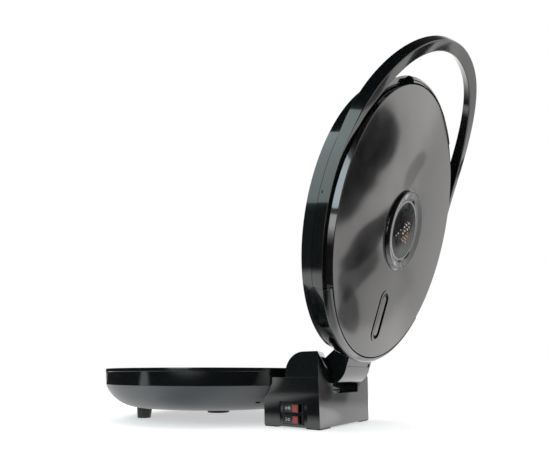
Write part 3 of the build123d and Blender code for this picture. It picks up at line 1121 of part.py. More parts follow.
# Neck and its bushes
def hinge_neck():
    """Hooded bracket behind the lid that turns on the hinge pins."""
    hinge_rise = HINGE_Z - MATE_Z
    top = NECK_TOP_RISE
    start = LID_EDGE_RADIUS - NECK_FRONT_WALL
    flat_end = HINGE_Y - HOOD_FLAT_BACK
    bend = (HINGE_Y - HOOD_BEND_BACK, hinge_rise + HOOD_BEND_RISE)
    lip = (HINGE_Y + HOOD_LIP_FORWARD, hinge_rise + HOOD_LIP_RISE)
    outer = [
        Line((start, top), (flat_end, top)),
        ThreePointArc((flat_end, top), bend, lip),
        Line(lip, (HINGE_Y + CHEEK_BACK_REACH, hinge_rise + CHEEK_BACK_RISE)),
        Line((HINGE_Y + CHEEK_BACK_REACH, hinge_rise + CHEEK_BACK_RISE), (HINGE_Y, hinge_rise)),
        Line((HINGE_Y, hinge_rise), (HINGE_Y - CHEEK_FRONT_REACH, hinge_rise - CHEEK_FRONT_DROP)),
        Line((HINGE_Y - CHEEK_FRONT_REACH, hinge_rise - CHEEK_FRONT_DROP), (start, NECK_FOOT_RISE)),
        Line((start, NECK_FOOT_RISE), (start, top)),
    ]
    neck = side_prism(outer, NECK_HALF_WIDTH)
    wall = NECK_WALL
    front = LID_SHOULDER_RADIUS + NECK_FRONT_WALL
    far = HINGE_Y + 2 * TROUGH_RADIUS
    deep = -2 * TROUGH_RADIUS
    inner = [
        Line((front, top - wall), (flat_end, top - wall)),
        ThreePointArc((flat_end, top - wall), (bend[0] - wall / 2, bend[1] - wall),
                      (lip[0] - wall / 2, lip[1] - wall)),
        Line((lip[0] - wall / 2, lip[1] - wall), (far, lip[1] - wall)),
        Line((far, lip[1] - wall), (far, deep)),
        Line((far, deep), (front, deep)),
        Line((front, deep), (front, top - wall)),
    ]
    neck -= side_prism(inner, NECK_HALF_WIDTH - NECK_WALL)
    knuckle = crosswise(KNUCKLE_RADIUS, NECK_HALF_WIDTH - PIN_ENTRY, NECK_HALF_WIDTH, HINGE_Y, hinge_rise)
    neck += both_sides(knuckle)
    neck -= crosswise(BUSH_RADIUS + PIN_PRESS_GAP, -NECK_HALF_WIDTH, NECK_HALF_WIDTH, HINGE_Y, hinge_rise)
    groove_start = LID_SHOULDER_RADIUS + HOOD_GROOVE_START
    groove_half = NECK_HALF_WIDTH - HOOD_GROOVE_MARGIN
    neck -= block(-groove_half, groove_half, groove_start, groove_start + HOOD_GROOVE_WIDTH,
                  top - HOOD_GROOVE_DEPTH, top + HOOD_GROOVE_DEPTH)
    neck -= lid_space(NECK_SEAT_CLEARANCE, 2 * LID_SHOULDER_HEIGHT)
    return neck - [screw_hole(place, (0, 1, 0), 2 * (LID_WALL + SCREW_HEAD_HEIGHT + NECK_FRONT_WALL))
                   for place in neck_screw_places()]


def hinge_bushes():
    hinge_rise = HINGE_Z - MATE_Z
    low = NECK_HALF_WIDTH - PIN_ENTRY
    tube = crosswise(BUSH_RADIUS, low, NECK_HALF_WIDTH, HINGE_Y, hinge_rise)
    bore = crosswise(PIN_RADIUS + PIN_RUNNING_CLEARANCE, low, NECK_HALF_WIDTH, HINGE_Y, hinge_rise)
    return both_sides(tube - bore)


# Middle panel and rear slot
def panel_bezel():
    base = DOME_TOP
    crown = BEZEL_CROWN_WIDTH / 2
    neck = BEZEL_NECK_RADIUS - PANEL_FIT
    shelf = base + BEZEL_SHELF_LEVEL
    bezel = spun([(BEZEL_RADIUS, base), (BEZEL_RADIUS, base + BEZEL_FOOT_EDGE),
                  (BEZEL_RADIUS - BEZEL_SHOULDER_SETBACK, base + BEZEL_SHOULDER_HEIGHT),
                  (BEZEL_CROWN_RADIUS + crown, base + BEZEL_HEIGHT),
                  (BEZEL_CROWN_RADIUS - crown, base + BEZEL_HEIGHT),
                  (BEZEL_OPENING_RADIUS, base + BEZEL_HEIGHT - PANEL_RECESS), (BEZEL_OPENING_RADIUS, shelf),
                  (BEZEL_SHELF_RADIUS, shelf), (BEZEL_SHELF_RADIUS, shelf - BEZEL_SHELF_THICKNESS),
                  (BEZEL_CROWN_RADIUS, shelf - BEZEL_SHELF_THICKNESS),
                  (BEZEL_CROWN_RADIUS, base - BEZEL_NECK_DEPTH),
                  (neck, base - BEZEL_NECK_DEPTH), (neck, base)])
    boss_top = shelf - BEZEL_SHELF_THICKNESS
    boss = upright(SCREW_HEAD_RADIUS, boss_top - BOARD_DROP, boss_top, PANEL_SCREW_CIRCLE)
    bore = upright(SCREW_CORE_RADIUS, boss_top - BOARD_DROP, boss_top + BEZEL_SHELF_THICKNESS / 2,
                   PANEL_SCREW_CIRCLE)
    bezel += around(boss, PANEL_SCREW_COUNT, QUARTER_TURN)
    return bezel - around(bore, PANEL_SCREW_COUNT, QUARTER_TURN)


def panel_trim():
    """Thin bright ring around the lens, with a small notch at the front."""
    outer = BEZEL_OPENING_RADIUS - PANEL_FIT
    low = DOME_TOP + BEZEL_SHELF_LEVEL
    high = DOME_TOP + BEZEL_HEIGHT - PANEL_RECESS
    ring = upright(outer, low, high) - upright(outer - TRIM_WIDTH, low, high)
    notch = block(-TRIM_NOTCH_WIDTH / 2, TRIM_NOTCH_WIDTH / 2, -outer, 0, high - TRIM_NOTCH_DEPTH, high)
    return ring - notch


def panel_lens():
    radius = BEZEL_OPENING_RADIUS - 2 * PANEL_FIT - TRIM_WIDTH
    low = DOME_TOP + BEZEL_SHELF_LEVEL
    return upright(radius, low, low + LENS_THICKNESS)


def board_top():
    return DOME_TOP + BEZEL_SHELF_LEVEL - BEZEL_SHELF_THICKNESS - BOARD_DROP


def panel_board():
    board = upright(BOARD_RADIUS, board_top() - BOARD_THICKNESS, board_top())
    hole = upright(SCREW_HOLE_RADIUS, 0, board_top(), PANEL_SCREW_CIRCLE)
    return board - around(hole, PANEL_SCREW_COUNT, QUARTER_TURN)


def panel_lamps():
    """Small indicator lamps on the board, just under the lens."""
    top = DOME_TOP + BEZEL_SHELF_LEVEL - SEAT_GAP
    lamp = fillet(edges_at(upright(PANEL_LAMP_RADIUS, board_top(), top), top), PANEL_LAMP_RADIUS / 2)
    return around(Pos(PANEL_LAMP_CIRCLE, 0, 0) * lamp, PANEL_LAMP_COUNT, QUARTER_TURN / 2)


def panel_screws():
    seat = (PANEL_SCREW_CIRCLE, 0, board_top() - BOARD_THICKNESS)
    reach = BOARD_THICKNESS + BOARD_DROP + BEZEL_SHELF_THICKNESS / 3
    return around(screw(seat, (0, 0, 1), reach), PANEL_SCREW_COUNT, QUARTER_TURN)


def panel_lock_ring():
    """Nut-like ring that draws the bezel down onto the dome from inside."""
    sag = DOME_CROWN * LOCK_RING_RADIUS / (DOME_RADIUS - DOME_WALL)
    top = DOME_TOP - DOME_WALL - sag - PANEL_FIT
    low = top - LOCK_RING_THICKNESS
    return upright(LOCK_RING_RADIUS, low, top) - upright(BEZEL_NECK_RADIUS, low, top)


def rear_slot_tray():
    """Round-ended tray set in the dome, with a raised bar along its middle."""
    length = REAR_SLOT_LENGTH - 2 * REAR_SLOT_LIP
    width = REAR_SLOT_WIDTH - 2 * REAR_SLOT_LIP
    base = DOME_TOP
    fit = 2 * PANEL_FIT
    tray = slot_shape(REAR_SLOT_LENGTH, REAR_SLOT_WIDTH, DOME_HEIGHT, base + REAR_SLOT_LIP_HEIGHT)
    slope = math.degrees(math.asin(REAR_SLOT_Y / crown_ball()))
    seat = block(-REAR_SLOT_WIDTH, REAR_SLOT_WIDTH, -REAR_SLOT_LENGTH, REAR_SLOT_LENGTH, -LEDGE_TOP, 0)
    tray -= Pos(0, REAR_SLOT_Y, crown_level(REAR_SLOT_Y)) * Rot(-slope, 0, 0) * seat
    tray += slot_shape(length - fit, width - fit, base - REAR_SLOT_DEPTH - REAR_SLOT_FLOOR, base)
    wall = 2 * REAR_SLOT_WALL
    tray -= slot_shape(length - wall, width - wall, base - REAR_SLOT_DEPTH, base + REAR_SLOT_LIP_HEIGHT)
    return tray + slot_shape(REAR_BAR_LENGTH, REAR_BAR_WIDTH, base - REAR_SLOT_DEPTH,
                             base - REAR_SLOT_DEPTH + REAR_BAR_HEIGHT)


# Assembly
def as_list(shapes):
    return list(shapes) if isinstance(shapes, (list, ShapeList)) else [shapes]


def solids_of(shapes):
    """Every solid in a piece."""
    found = []
    for shape in as_list(shapes):
        found += shape.solids()
    return found


def opened(shapes):
    """A lid piece lifted to the rim's level and turned open about the hinge."""
    hinge = Axis((0, HINGE_Y, HINGE_Z), (1, 0, 0))
    return solids_of([(Pos(0, 0, MATE_Z) * shape).rotate(hinge, -OPEN_ANGLE) for shape in as_list(shapes)])


def base_pieces():
    lowest, highest = switch_centres()[0], switch_centres()[-1]
    return {
        "base_shell": base_shell(),
        "base_rim_ring": base_rim_ring(),
        "lower_plate": lower_plate(),
        "lower_element": under_plate(element()),
        "lower_element_clamps": under_plate(element_clamps()),
        "lower_reflector": under_plate(reflector()),
        "lower_thermostat": under_plate(thermostat()),
        "lower_thermal_fuse": under_plate(thermal_fuse()),
        "lower_plate_screws": lower_plate_screws(),
        "front_foot_right": front_foot(),
        "front_foot_left": mirror(front_foot(), about=Plane.YZ),
        "foot_screws": foot_screws(),
        "centre_cap": centre_cap(),
        "centre_cap_screw": centre_cap_screw(),
        "housing_shell": housing_shell(),
        "housing_bottom": housing_bottom(),
        "housing_pads": housing_pads(),
        "housing_screws": housing_screws(),
        "shell_screws": shell_screws(),
        "hinge_pins": hinge_pins(),
        "lower_switch_body": switch_body(lowest),
        "upper_switch_body": switch_body(highest),
        "switch_terminals": switch_terminals(),
        "terminal_block": terminal_block(),
        "cord_gland": cord_gland(),
        "gland_nut": gland_nut(),
    }


def rocker_pieces():
    lowest, highest = switch_centres()[0], switch_centres()[-1]
    return {
        "lower_rocker": rocker(lowest),
        "lower_rocker_lamp": rocker_lamp(lowest),
        "upper_rocker": rocker(highest),
        "upper_rocker_lamp": rocker_lamp(highest),
    }


def lid_pieces():
    return {
        "lid_ring": lid_ring(),
        "lid_dome": lid_dome(),
        "dome_screws": dome_screws(),
        "handle_loop": handle_loop(),
        "handle_screws": handle_screws(),
        "upper_plate": upper_plate(),
        "upper_rim_screws": rim_screws(),
        "upper_element": over_plate(element()),
        "upper_element_clamps": over_plate(element_clamps()),
        "upper_reflector": over_plate(reflector()),
        "upper_thermostat": over_plate(thermostat()),
        "upper_thermal_fuse": over_plate(thermal_fuse()),
        "upper_plate_screws": over_plate(plate_screws()),
        "hinge_neck": hinge_neck(),
        "neck_screws": neck_screws(),
        "hinge_bushes": hinge_bushes(),
        "panel_bezel": panel_bezel(),
        "panel_trim": panel_trim(),
        "panel_lens": panel_lens(),
        "panel_board": panel_board(),
        "panel_lamps": panel_lamps(),
        "panel_screws": panel_screws(),
        "panel_lock_ring": panel_lock_ring(),
        "rear_slot_tray": rear_slot_tray(),
    }


def all_pieces():
    """Every piece, with the origin under the middle of the open cooker's outline."""
    pieces = {}
    for name, shape in base_pieces().items():
        pieces[name] = solids_of(shape)
    for name, shape in rocker_pieces().items():
        pieces[name] = solids_of(shape)
    for name, shape in lid_pieces().items():
        pieces[name] = opened(shape)
    boxes = [solid.bounding_box() for solids in pieces.values() for solid in solids]
    shift = -(min(box.min.Y for box in boxes) + max(box.max.Y for box in boxes)) / 2
    return {name: [Pos(0, shift, 0) * solid for solid in solids] for name, solids in pieces.items()}, shift


pieces, ORIGIN_SHIFT = all_pieces()
for name, solids in pieces.items():
    piece = solids[0] if len(solids) == 1 else Compound(children=solids)
    export_step(piece, os.path.join("parts", name + ".step"))
print("pieces", len(pieces), "shift along Y", round(ORIGIN_SHIFT, 3))
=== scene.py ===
import json
import math

import bmesh
import bpy
from bpy.props import FloatProperty, FloatVectorProperty, IntProperty, PointerProperty
from mathutils import Matrix, Vector


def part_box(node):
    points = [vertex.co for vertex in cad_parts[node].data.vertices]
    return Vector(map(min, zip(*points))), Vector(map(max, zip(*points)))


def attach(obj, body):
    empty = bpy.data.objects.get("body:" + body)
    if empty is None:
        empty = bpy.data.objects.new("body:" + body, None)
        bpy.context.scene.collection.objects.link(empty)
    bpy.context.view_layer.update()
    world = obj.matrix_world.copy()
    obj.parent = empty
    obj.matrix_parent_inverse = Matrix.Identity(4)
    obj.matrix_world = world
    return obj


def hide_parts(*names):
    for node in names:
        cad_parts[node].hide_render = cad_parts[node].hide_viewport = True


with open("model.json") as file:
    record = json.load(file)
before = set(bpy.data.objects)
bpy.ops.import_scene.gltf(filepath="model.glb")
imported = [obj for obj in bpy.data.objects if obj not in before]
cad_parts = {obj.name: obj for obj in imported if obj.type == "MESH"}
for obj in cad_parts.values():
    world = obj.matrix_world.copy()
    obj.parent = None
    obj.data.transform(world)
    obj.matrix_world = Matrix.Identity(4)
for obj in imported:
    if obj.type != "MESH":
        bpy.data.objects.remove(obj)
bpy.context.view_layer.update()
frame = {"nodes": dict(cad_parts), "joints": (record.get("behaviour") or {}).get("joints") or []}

bl_info = {
    "name": "Pizza Maker",
    "version": (1, 0, 0),
    "blender": (4, 5, 0),
    "location": "3D View > Sidebar > Pizza Maker",
    "description": "Builds a countertop pizza maker with a hinged lid around its construction frame",
    "category": "Add Mesh",
}

MM = 0.001
SIDES = (1, -1)
JOINTS = {joint["name"]: joint for joint in frame["joints"]}
HINGE = Vector(JOINTS["lid_hinge"]["pos_m"])
OPEN_ANGLE = math.radians(JOINTS["lid_hinge"]["range_deg"][1])
RIM_LOW, RIM_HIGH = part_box("base_rim_ring")
PAN_PLACE = Matrix.Translation((0, (RIM_LOW.y + RIM_HIGH.y) / 2, 0))
LID_GAP = 0.8 * MM
LID_TURN = Matrix.Translation(HINGE) @ Matrix.Rotation(-OPEN_ANGLE, 4, "X") @ Matrix.Translation(-HINGE)
LID_PLACE = LID_TURN @ PAN_PLACE @ Matrix.Translation((0, 0, RIM_HIGH.z + LID_GAP))
# Materials by name, filled by the step that makes them
FINISH = {}


# Colours
def linear(code, alpha=1.0):
    """Turns an sRGB hex colour into the linear values that a shader takes."""
    values = [int(code[index:index + 2], 16) / 255 for index in (1, 3, 5)]
    turned_values = [v / 12.92 if v <= 0.04045 else ((v + 0.055) / 1.055) ** 2.4 for v in values]
    return (*turned_values, alpha)


def mm(*values):
    """Lengths in millimetres turned to metres."""
    return [value * MM for value in values]


def length(label, tells, millimetres):
    """A size that the user can change."""
    return FloatProperty(name=label, description=tells, default=millimetres * MM, unit="LENGTH", min=0.0)


def colour(label, tells, code):
    """A colour that the user can change."""
    return FloatVectorProperty(name=label, description=tells, subtype="COLOR", size=4, min=0.0, max=1.0,
                               default=linear(code))


# Sizes and colours
class PanSizes(bpy.types.PropertyGroup):
    radius: length("Pan radius", "Outside radius of the rim ring", 180.0)
    rim_top: length("Rim height", "Height of the rim above the table", 76.2)
    rim_width: length("Rim width", "Width of the rim ring", 15.0)
    rim_drop: length("Rim drop", "Height of the rim's outer face", 5.2)
    rim_seat: length("Rim seat", "Thickness of the rim over the plate", 3.2)
    band_foot: length("Band foot", "Height of the crease under the band", 52.4)
    floor_radius: length("Bowl floor radius", "Radius of the flat underside", 128.0)
    floor_height: length("Bowl floor height", "Height of the flat underside", 18.0)
    wall: length("Bowl wall", "Thickness of the bowl", 2.4)
    plate_depth: length("Plate depth", "Depth of the baking plate", 18.5)
    foot_radius: length("Foot radius", "Radius of a front foot at its root", 12.0)
    cap_height: length("Cap height", "Height of the middle cap", 5.2)
    turns: IntProperty(name="Segments", description="Faces around each turned piece", default=192, min=24)


class LidSizes(bpy.types.PropertyGroup):
    dome_radius: length("Cover radius", "Outside radius of the cover", 176.5)
    dome_height: length("Cover height", "Height of the cover's edge", 37.8)
    dome_crown: length("Cover crown", "Rise from the cover's edge to its middle", 0.4)
    dome_foot: length("Cover foot", "Height of the ledge under the cover", 27.0)
    dome_flare: length("Cover flare", "How far the side wall's foot stands out", 1.6)
    dome_draft: length("Cover draft", "How far the side wall's top stands in", 1.1)
    wall: length("Cover wall", "Thickness of the cover", 2.5)
    neck_hole: length("Panel hole", "Radius of the hole for the panel", 50.0)
    slot_length: length("Slot length", "Length of the opening behind the panel", 66.2)
    slot_width: length("Slot width", "Width of the opening", 22.2)
    slot_place: length("Slot place", "Distance from the lid's middle to the opening", 118.0)


class HandleSizes(bpy.types.PropertyGroup):
    reach: length("Reach", "How far the bow stands out", 45.5)
    width: length("Bar width", "Width of the bow", 13.0)
    tail_width: length("Arm width", "Width of the arms in the lid's band", 6.0)
    shoulder_radius: length("Shoulder radius", "Radius of the band's shoulder", 184.75)
    flare: length("Flare", "How far the band flares to its shoulder", 5.0)
    bottom: length("Arm height", "Height of the arms' lower edge", 15.6)
    top: length("Arm top", "Height of the arms' upper edge", 30.5)
    lower_rise: length("Lower rise", "Rise of the lower edge along the bow", 40.0)
    upper_rise: length("Upper rise", "Rise of the upper edge along the bow", 37.0)
    edge: length("Edge round", "Rounding of the bow's long edges", 1.8)
    seam_edge: length("Seam round", "Rounding of the arms' edges", 0.3)


class PanelSizes(bpy.types.PropertyGroup):
    bezel_radius: length("Bezel radius", "Outside radius of the bezel", 54.0)
    bezel_height: length("Bezel height", "Rise of the bezel above the cover", 4.8)
    opening: length("Opening radius", "Radius of the bezel's opening", 39.0)
    trim_width: length("Trim width", "Width of the bright ring", 1.5)
    lens_thickness: length("Lens thickness", "Thickness of the lens", 2.0)
    recess: length("Recess", "Depth of the bright ring below the crown", 3.6)


class Finishes(bpy.types.PropertyGroup):
    band: colour("Band black", "Band, lid and housing", "#0f1213")
    # The bowl grey is painted reflection of the bright floor on the bowl's underside, not a second colour of
    # the moulding.
    bowl: colour("Bowl grey", "Underside of the bowl", "#5a5c5e")
    rim: colour("Rim black", "Rim ring", "#0b0c0d")
    cover: colour("Cover black", "Cover of the lid", "#121110")
    handle: colour("Handle black", "Bow and arms of the handle", "#0c0e0f")
    plate: colour("Plate coating", "Coating of both baking plates", "#2b2c2e")
    rocker: colour("Rocker black", "Switches and their rockers", "#151617")
    lamp: colour("Lamp red", "Lit ends of the rockers", "#9c2416")
    mark: colour("Mark white", "Marks on the rockers and the lens", "#d8dad8")


# Modelling
def alone(piece=None):
    """Leaves edit mode and selects one piece, or nothing."""
    if bpy.context.object and bpy.context.object.mode != "OBJECT":
        bpy.ops.object.mode_set(mode="OBJECT")
    bpy.ops.object.select_all(action="DESELECT")
    if piece:
        piece.select_set(True)
        bpy.context.view_layer.objects.active = piece


def primitive(name, kind, **where):
    """Adds a primitive with nothing else selected and opens it in edit mode."""
    alone()
    getattr(bpy.ops.mesh, "primitive_" + kind + "_add")(**where)
    piece = bpy.context.object
    piece.name = piece.data.name = name
    bpy.ops.object.mode_set(mode="EDIT")
    return piece


def copied(source, name):
    """A copy of a piece with its own mesh, selected."""
    piece = bpy.data.objects.new(name, source.data.copy())
    piece.data.name = name
    bpy.context.collection.objects.link(piece)
    alone(piece)
    return piece


def outward():
    """Turns all faces of the selected piece outward."""
    bpy.ops.object.mode_set(mode="EDIT")
    bpy.ops.mesh.select_all(action="SELECT")
    bpy.ops.mesh.normals_make_consistent(inside=False)
    bpy.ops.object.mode_set(mode="OBJECT")


def modified(piece, kind, **settings):
    """Adds a modifier to a piece and applies it."""
    alone(piece)
    modifier = piece.modifiers.new(kind.title(), kind)
    for key, value in settings.items():
        setattr(modifier, key, value)
    bpy.ops.object.modifier_apply(modifier=modifier.name)
    return piece


def finished(piece, place=None, edge=0.0, segments=2, sharp=30.0):
    """Rounds a piece's sharp edges in millimetres, smooths its faces and applies its place."""
    alone(piece)
    bpy.ops.object.transform_apply(location=True, rotation=True, scale=True)
    if edge:
        modified(piece, "BEVEL", width=edge * MM, segments=segments, limit_method="ANGLE",
                 use_clamp_overlap=True, angle_limit=math.radians(sharp), miter_outer="MITER_ARC",
                 harden_normals=False)
    if place:
        piece.matrix_world = place
        bpy.ops.object.transform_apply(location=True, rotation=True, scale=True)
    bpy.ops.object.shade_smooth_by_angle(angle=math.radians(sharp))
    return modified(piece, "WEIGHTED_NORMAL", keep_sharp=True, weight=80)


def turned(name, outline, steps, closed=True):
    """Turns an outline of radius and height about the Z axis, starting from a single point."""
    radius, height = outline[0]
    piece = primitive(name, "plane", size=MM, location=(radius, 0, height))
    bpy.ops.mesh.merge(type="CENTER")
    path = outline + outline[:1] if closed else outline
    for (r0, z0), (r1, z1) in zip(path, path[1:]):
        bpy.ops.mesh.extrude_region_move(TRANSFORM_OT_translate={"value": (r1 - r0, 0, z1 - z0)})
    bpy.ops.mesh.select_all(action="SELECT")
    bpy.ops.mesh.remove_doubles(threshold=MM / 1000)
    bpy.ops.mesh.select_all(action="SELECT")
    bpy.ops.mesh.spin(steps=steps, angle=math.tau, center=(0, 0, 0), axis=(0, 0, 1))
    bpy.ops.mesh.select_all(action="SELECT")
    bpy.ops.mesh.remove_doubles(threshold=MM / 100)
    outward()
    return piece


def arc(start, middle, end, count):
    """Points of the arc through three points of an outline, with both ends."""
    (ax, ay), (bx, by), (cx, cy) = start, middle, end
    a_square, b_square, c_square = (x ** 2 + y ** 2 for x, y in (start, middle, end))
    area = 2 * (ax * (by - cy) + bx * (cy - ay) + cx * (ay - by))
    ux = (a_square * (by - cy) + b_square * (cy - ay) + c_square * (ay - by)) / area
    uy = (a_square * (cx - bx) + b_square * (ax - cx) + c_square * (bx - ax)) / area
    radius = math.hypot(ax - ux, ay - uy)
    first = math.atan2(ay - uy, ax - ux)
    sweep = (math.atan2(cy - uy, cx - ux) - first + math.pi) % math.tau - math.pi
    return [(ux + radius * math.cos(first + sweep * index / count),
             uy + radius * math.sin(first + sweep * index / count)) for index in range(count + 1)]


def mirrored(piece, name):
    """A copy of a piece on the other side of the middle plane."""
    twin = copied(piece, name)
    twin.matrix_world = Matrix.Scale(-1, 4, (1, 0, 0))
    bpy.ops.object.transform_apply(location=True, rotation=True, scale=True)
    outward()
    return twin


def refined(name, node, edge, segments=2, sharp=32.0):
    """A copy of a frame node with its triangles joined, its flat faces rebuilt and its edges rounded."""
    piece = copied(frame["nodes"][node], name)
    piece.data.materials.clear()
    bpy.ops.object.mode_set(mode="EDIT")
    bpy.ops.mesh.select_all(action="SELECT")
    bpy.ops.mesh.remove_doubles(threshold=MM / 500)
    bpy.ops.mesh.dissolve_limited(angle_limit=math.radians(0.6))
    bpy.ops.mesh.select_all(action="SELECT")
    bpy.ops.mesh.customdata_custom_splitnormals_clear()
    bpy.ops.object.mode_set(mode="OBJECT")
    return finished(piece, None, edge, segments, sharp)


def cut(piece, cutter):
    """Takes one piece's shape out of another and drops the cutter."""
    modified(piece, "BOOLEAN", object=cutter, operation="DIFFERENCE", solver="EXACT")
    bpy.data.objects.remove(cutter)
    return piece


def rounded_bar(name, across, along, low, high, centre):
    """Round-ended bar lying along Y between two heights."""
    piece = primitive(name, "cylinder", vertices=64, radius=across / 2, depth=high - low,
                      location=(centre[0], centre[1], (low + high) / 2))
    bar = bmesh.from_edit_mesh(piece.data)
    stretch = (along - across) / 2
    for vertex in bar.verts:
        if abs(vertex.co.y) > MM / 1000:
            vertex.co.y += math.copysign(stretch, vertex.co.y)
    bmesh.update_edit_mesh(piece.data)
    bpy.ops.object.mode_set(mode="OBJECT")
    return piece


def settle(piece, body, slot, *nodes, made=None):
    """Gives a piece its body, its finish and the frame nodes that it stands for."""
    piece.data.materials.clear()
    piece.data.materials.append(made or FINISH[slot])
    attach(piece, body)
    if nodes:
        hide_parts(*nodes)
    return piece


def dressed(name, node, body, slot, edge, segments=2):
    """A rounded copy of a frame node, which takes the node's place."""
    return settle(refined(name, node, edge, segments), body, slot, node)


# Materials
def feed(node, inputs):
    """Gives some inputs of a node their values or links."""
    for key, value in inputs.items():
        if isinstance(value, bpy.types.NodeSocket):
            node.id_data.links.new(value, node.inputs[key])
        else:
            node.inputs[key].default_value = value


def add(tree, kind, inputs=None, out=0, **settings):
    """Adds a node with its settings and inputs, and gives back one of its outputs."""
    node = tree.nodes.new("ShaderNode" + kind)
    for key, value in settings.items():
        setattr(node, key, value)
    feed(node, inputs or {})
    return node.outputs[out]


def material(name, base, roughness, ior=1.5, metallic=0.0):
    """A new material with the plain values of its shader."""
    made = bpy.data.materials.new(name)
    made.use_nodes = True
    made.diffuse_color = base
    shader = made.node_tree.nodes["Principled BSDF"]
    feed(shader, {"Base Color": base, "Roughness": roughness, "IOR": ior, "Metallic": metallic})
    return made, made.node_tree, shader


def skin(tree, shader, grain, depth, wave=None, wave_depth=0.0, smudge=None, rough=None, tint=0.0):
    """Grain, long waves and patches of roughness, all sized in millimetres, and a drift of the colour."""
    place = add(tree, "TexCoord", out="Object")
    fine = add(tree, "TexNoise", {"Vector": place, "Scale": 1 / (grain * MM), "Detail": 2.0,
                                  "Roughness": 0.5})
    bump = add(tree, "Bump", {"Height": fine, "Strength": 1.0, "Distance": depth * MM})
    if wave:
        swell = add(tree, "TexNoise", {"Vector": place, "Scale": 1 / (wave * MM), "Detail": 0.0})
        bump = add(tree, "Bump", {"Height": swell, "Strength": 1.0, "Distance": wave_depth * MM,
                                  "Normal": bump})
    feed(shader, {"Normal": bump})
    if smudge:
        patch = add(tree, "TexNoise", {"Vector": place, "Scale": 1 / (smudge * MM), "Detail": 4.0,
                                       "Roughness": 0.6})
        spread = add(tree, "MapRange", {"Value": patch, "From Min": 0.35, "From Max": 0.65,
                                        "To Min": rough[0], "To Max": rough[1]})
        feed(shader, {"Roughness": spread})
        if tint:
            base = shader.inputs["Base Color"].default_value[:]
            light = tuple(min(1.0, part * (1 + tint)) for part in base[:3]) + (1.0,)
            mixed = add(tree, "Mix", {0: patch, 6: base, 7: light}, out=2, data_type="RGBA")
            feed(shader, {"Base Color": mixed})
    return place


def polish(shader, weight=1.0, roughness=0.03):
    """The clear glassy layer of a high-gloss moulding."""
    feed(shader, {"Coat Weight": weight, "Coat Roughness": roughness, "Coat IOR": 1.5})


def gloss_abs(name, base, roughness=0.16):
    """Moulded gloss ABS: deep black with a slight orange peel that softens reflections."""
    made, tree, shader = material(name, base, roughness, 1.52)
    skin(tree, shader, grain=1.6, depth=0.001, wave=38, wave_depth=0.012, smudge=42,
         rough=(roughness - 0.02, roughness + 0.04), tint=0.25)
    polish(shader)
    return made


def bowl_abs(name, band, under, crease):
    """Moulded ABS bowl: gloss black upright band, and a satin underside below the crease whose paler grey is
    a painted reflection of the bright floor.
    """
    made, tree, shader = material(name, band, 0.2, 1.52)
    place = skin(tree, shader, grain=1.6, depth=0.001, wave=38, wave_depth=0.01)
    height = add(tree, "SeparateXYZ", {"Vector": place}, out="Z")
    blend = 0.2 * MM
    side = add(tree, "MapRange", {"Value": height, "From Min": crease - blend, "From Max": crease + blend})
    cloud = add(tree, "TexNoise", {"Vector": place, "Scale": 1 / (42 * MM), "Detail": 4.0})
    satin = add(tree, "MapRange", {"Value": cloud, "To Min": 0.3, "To Max": 0.42})
    rough = add(tree, "Mix", {0: side, 2: satin, 3: 0.1})
    # Painted reflection: below the crease the base colour turns to the paler grey that stands in for the
    # bright floor mirrored by the underside.
    mixed = add(tree, "Mix", {0: side, 6: under, 7: band}, out=2, data_type="RGBA")
    feed(shader, {"Roughness": rough, "Base Color": mixed})
    return made


def cover_abs(name, base):
    """Gloss ABS of a wide thin-walled cover: long sink waves make its reflections swim."""
    made, tree, shader = material(name, base, 0.1, 1.53)
    skin(tree, shader, grain=1.6, depth=0.001, wave=45, wave_depth=0.1, smudge=55, rough=(0.08, 0.14),
         tint=0.3)
    polish(shader)
    return made


def matt_pa(name, base, roughness=0.48):
    """Spark-textured polyamide: a fine even grain that breaks up highlights."""
    made, tree, shader = material(name, base, roughness, 1.53)
    skin(tree, shader, grain=0.6, depth=0.02, smudge=18, rough=(roughness - 0.05, roughness + 0.07),
         tint=0.3)
    return made


def nonstick(name, base):
    """Sprayed non-stick coating on cast aluminium: satin dark grey with pale flecks."""
    made, tree, shader = material(name, base, 0.36, 1.38)
    place = skin(tree, shader, grain=0.9, depth=0.012, smudge=30, rough=(0.32, 0.42))
    cells = add(tree, "TexVoronoi", {"Vector": place, "Scale": 1 / (2.6 * MM)}, out="Distance")
    fleck = add(tree, "MapRange", {"Value": cells, "From Min": 0.12, "From Max": 0.06})
    mixed = add(tree, "Mix", {0: fleck, 6: base, 7: linear("#5c5e60")}, out=2, data_type="RGBA")
    feed(shader, {"Base Color": mixed})
    return made


def bare_metal(name, code, roughness, line, depth, stretch=(1, 1, 1)):
    """Metal with drawn or rolled lines, sized in millimetres: bright with streaked roughness."""
    made, tree, shader = material(name, linear(code), roughness, 1.5, 1.0)
    place = add(tree, "TexCoord", out="Object")
    drawn = add(tree, "Mapping", {"Vector": place, "Scale": stretch})
    lines = add(tree, "TexNoise", {"Vector": drawn, "Scale": 1 / (line * MM), "Detail": 3.0})
    bump = add(tree, "Bump", {"Height": lines, "Strength": 1.0, "Distance": depth * MM})
    spread = add(tree, "MapRange", {"Value": lines, "From Min": 0.3, "From Max": 0.7,
                                    "To Min": roughness - 0.08, "To Max": roughness + 0.1})
    feed(shader, {"Normal": bump, "Roughness": spread})
    return made


def rubber(name, code):
    """Moulded rubber: dull, slightly dusty black."""
    made, tree, shader = material(name, linear(code), 0.78, 1.52)
    skin(tree, shader, grain=0.5, depth=0.03, smudge=9, rough=(0.7, 0.88), tint=0.6)
    return made


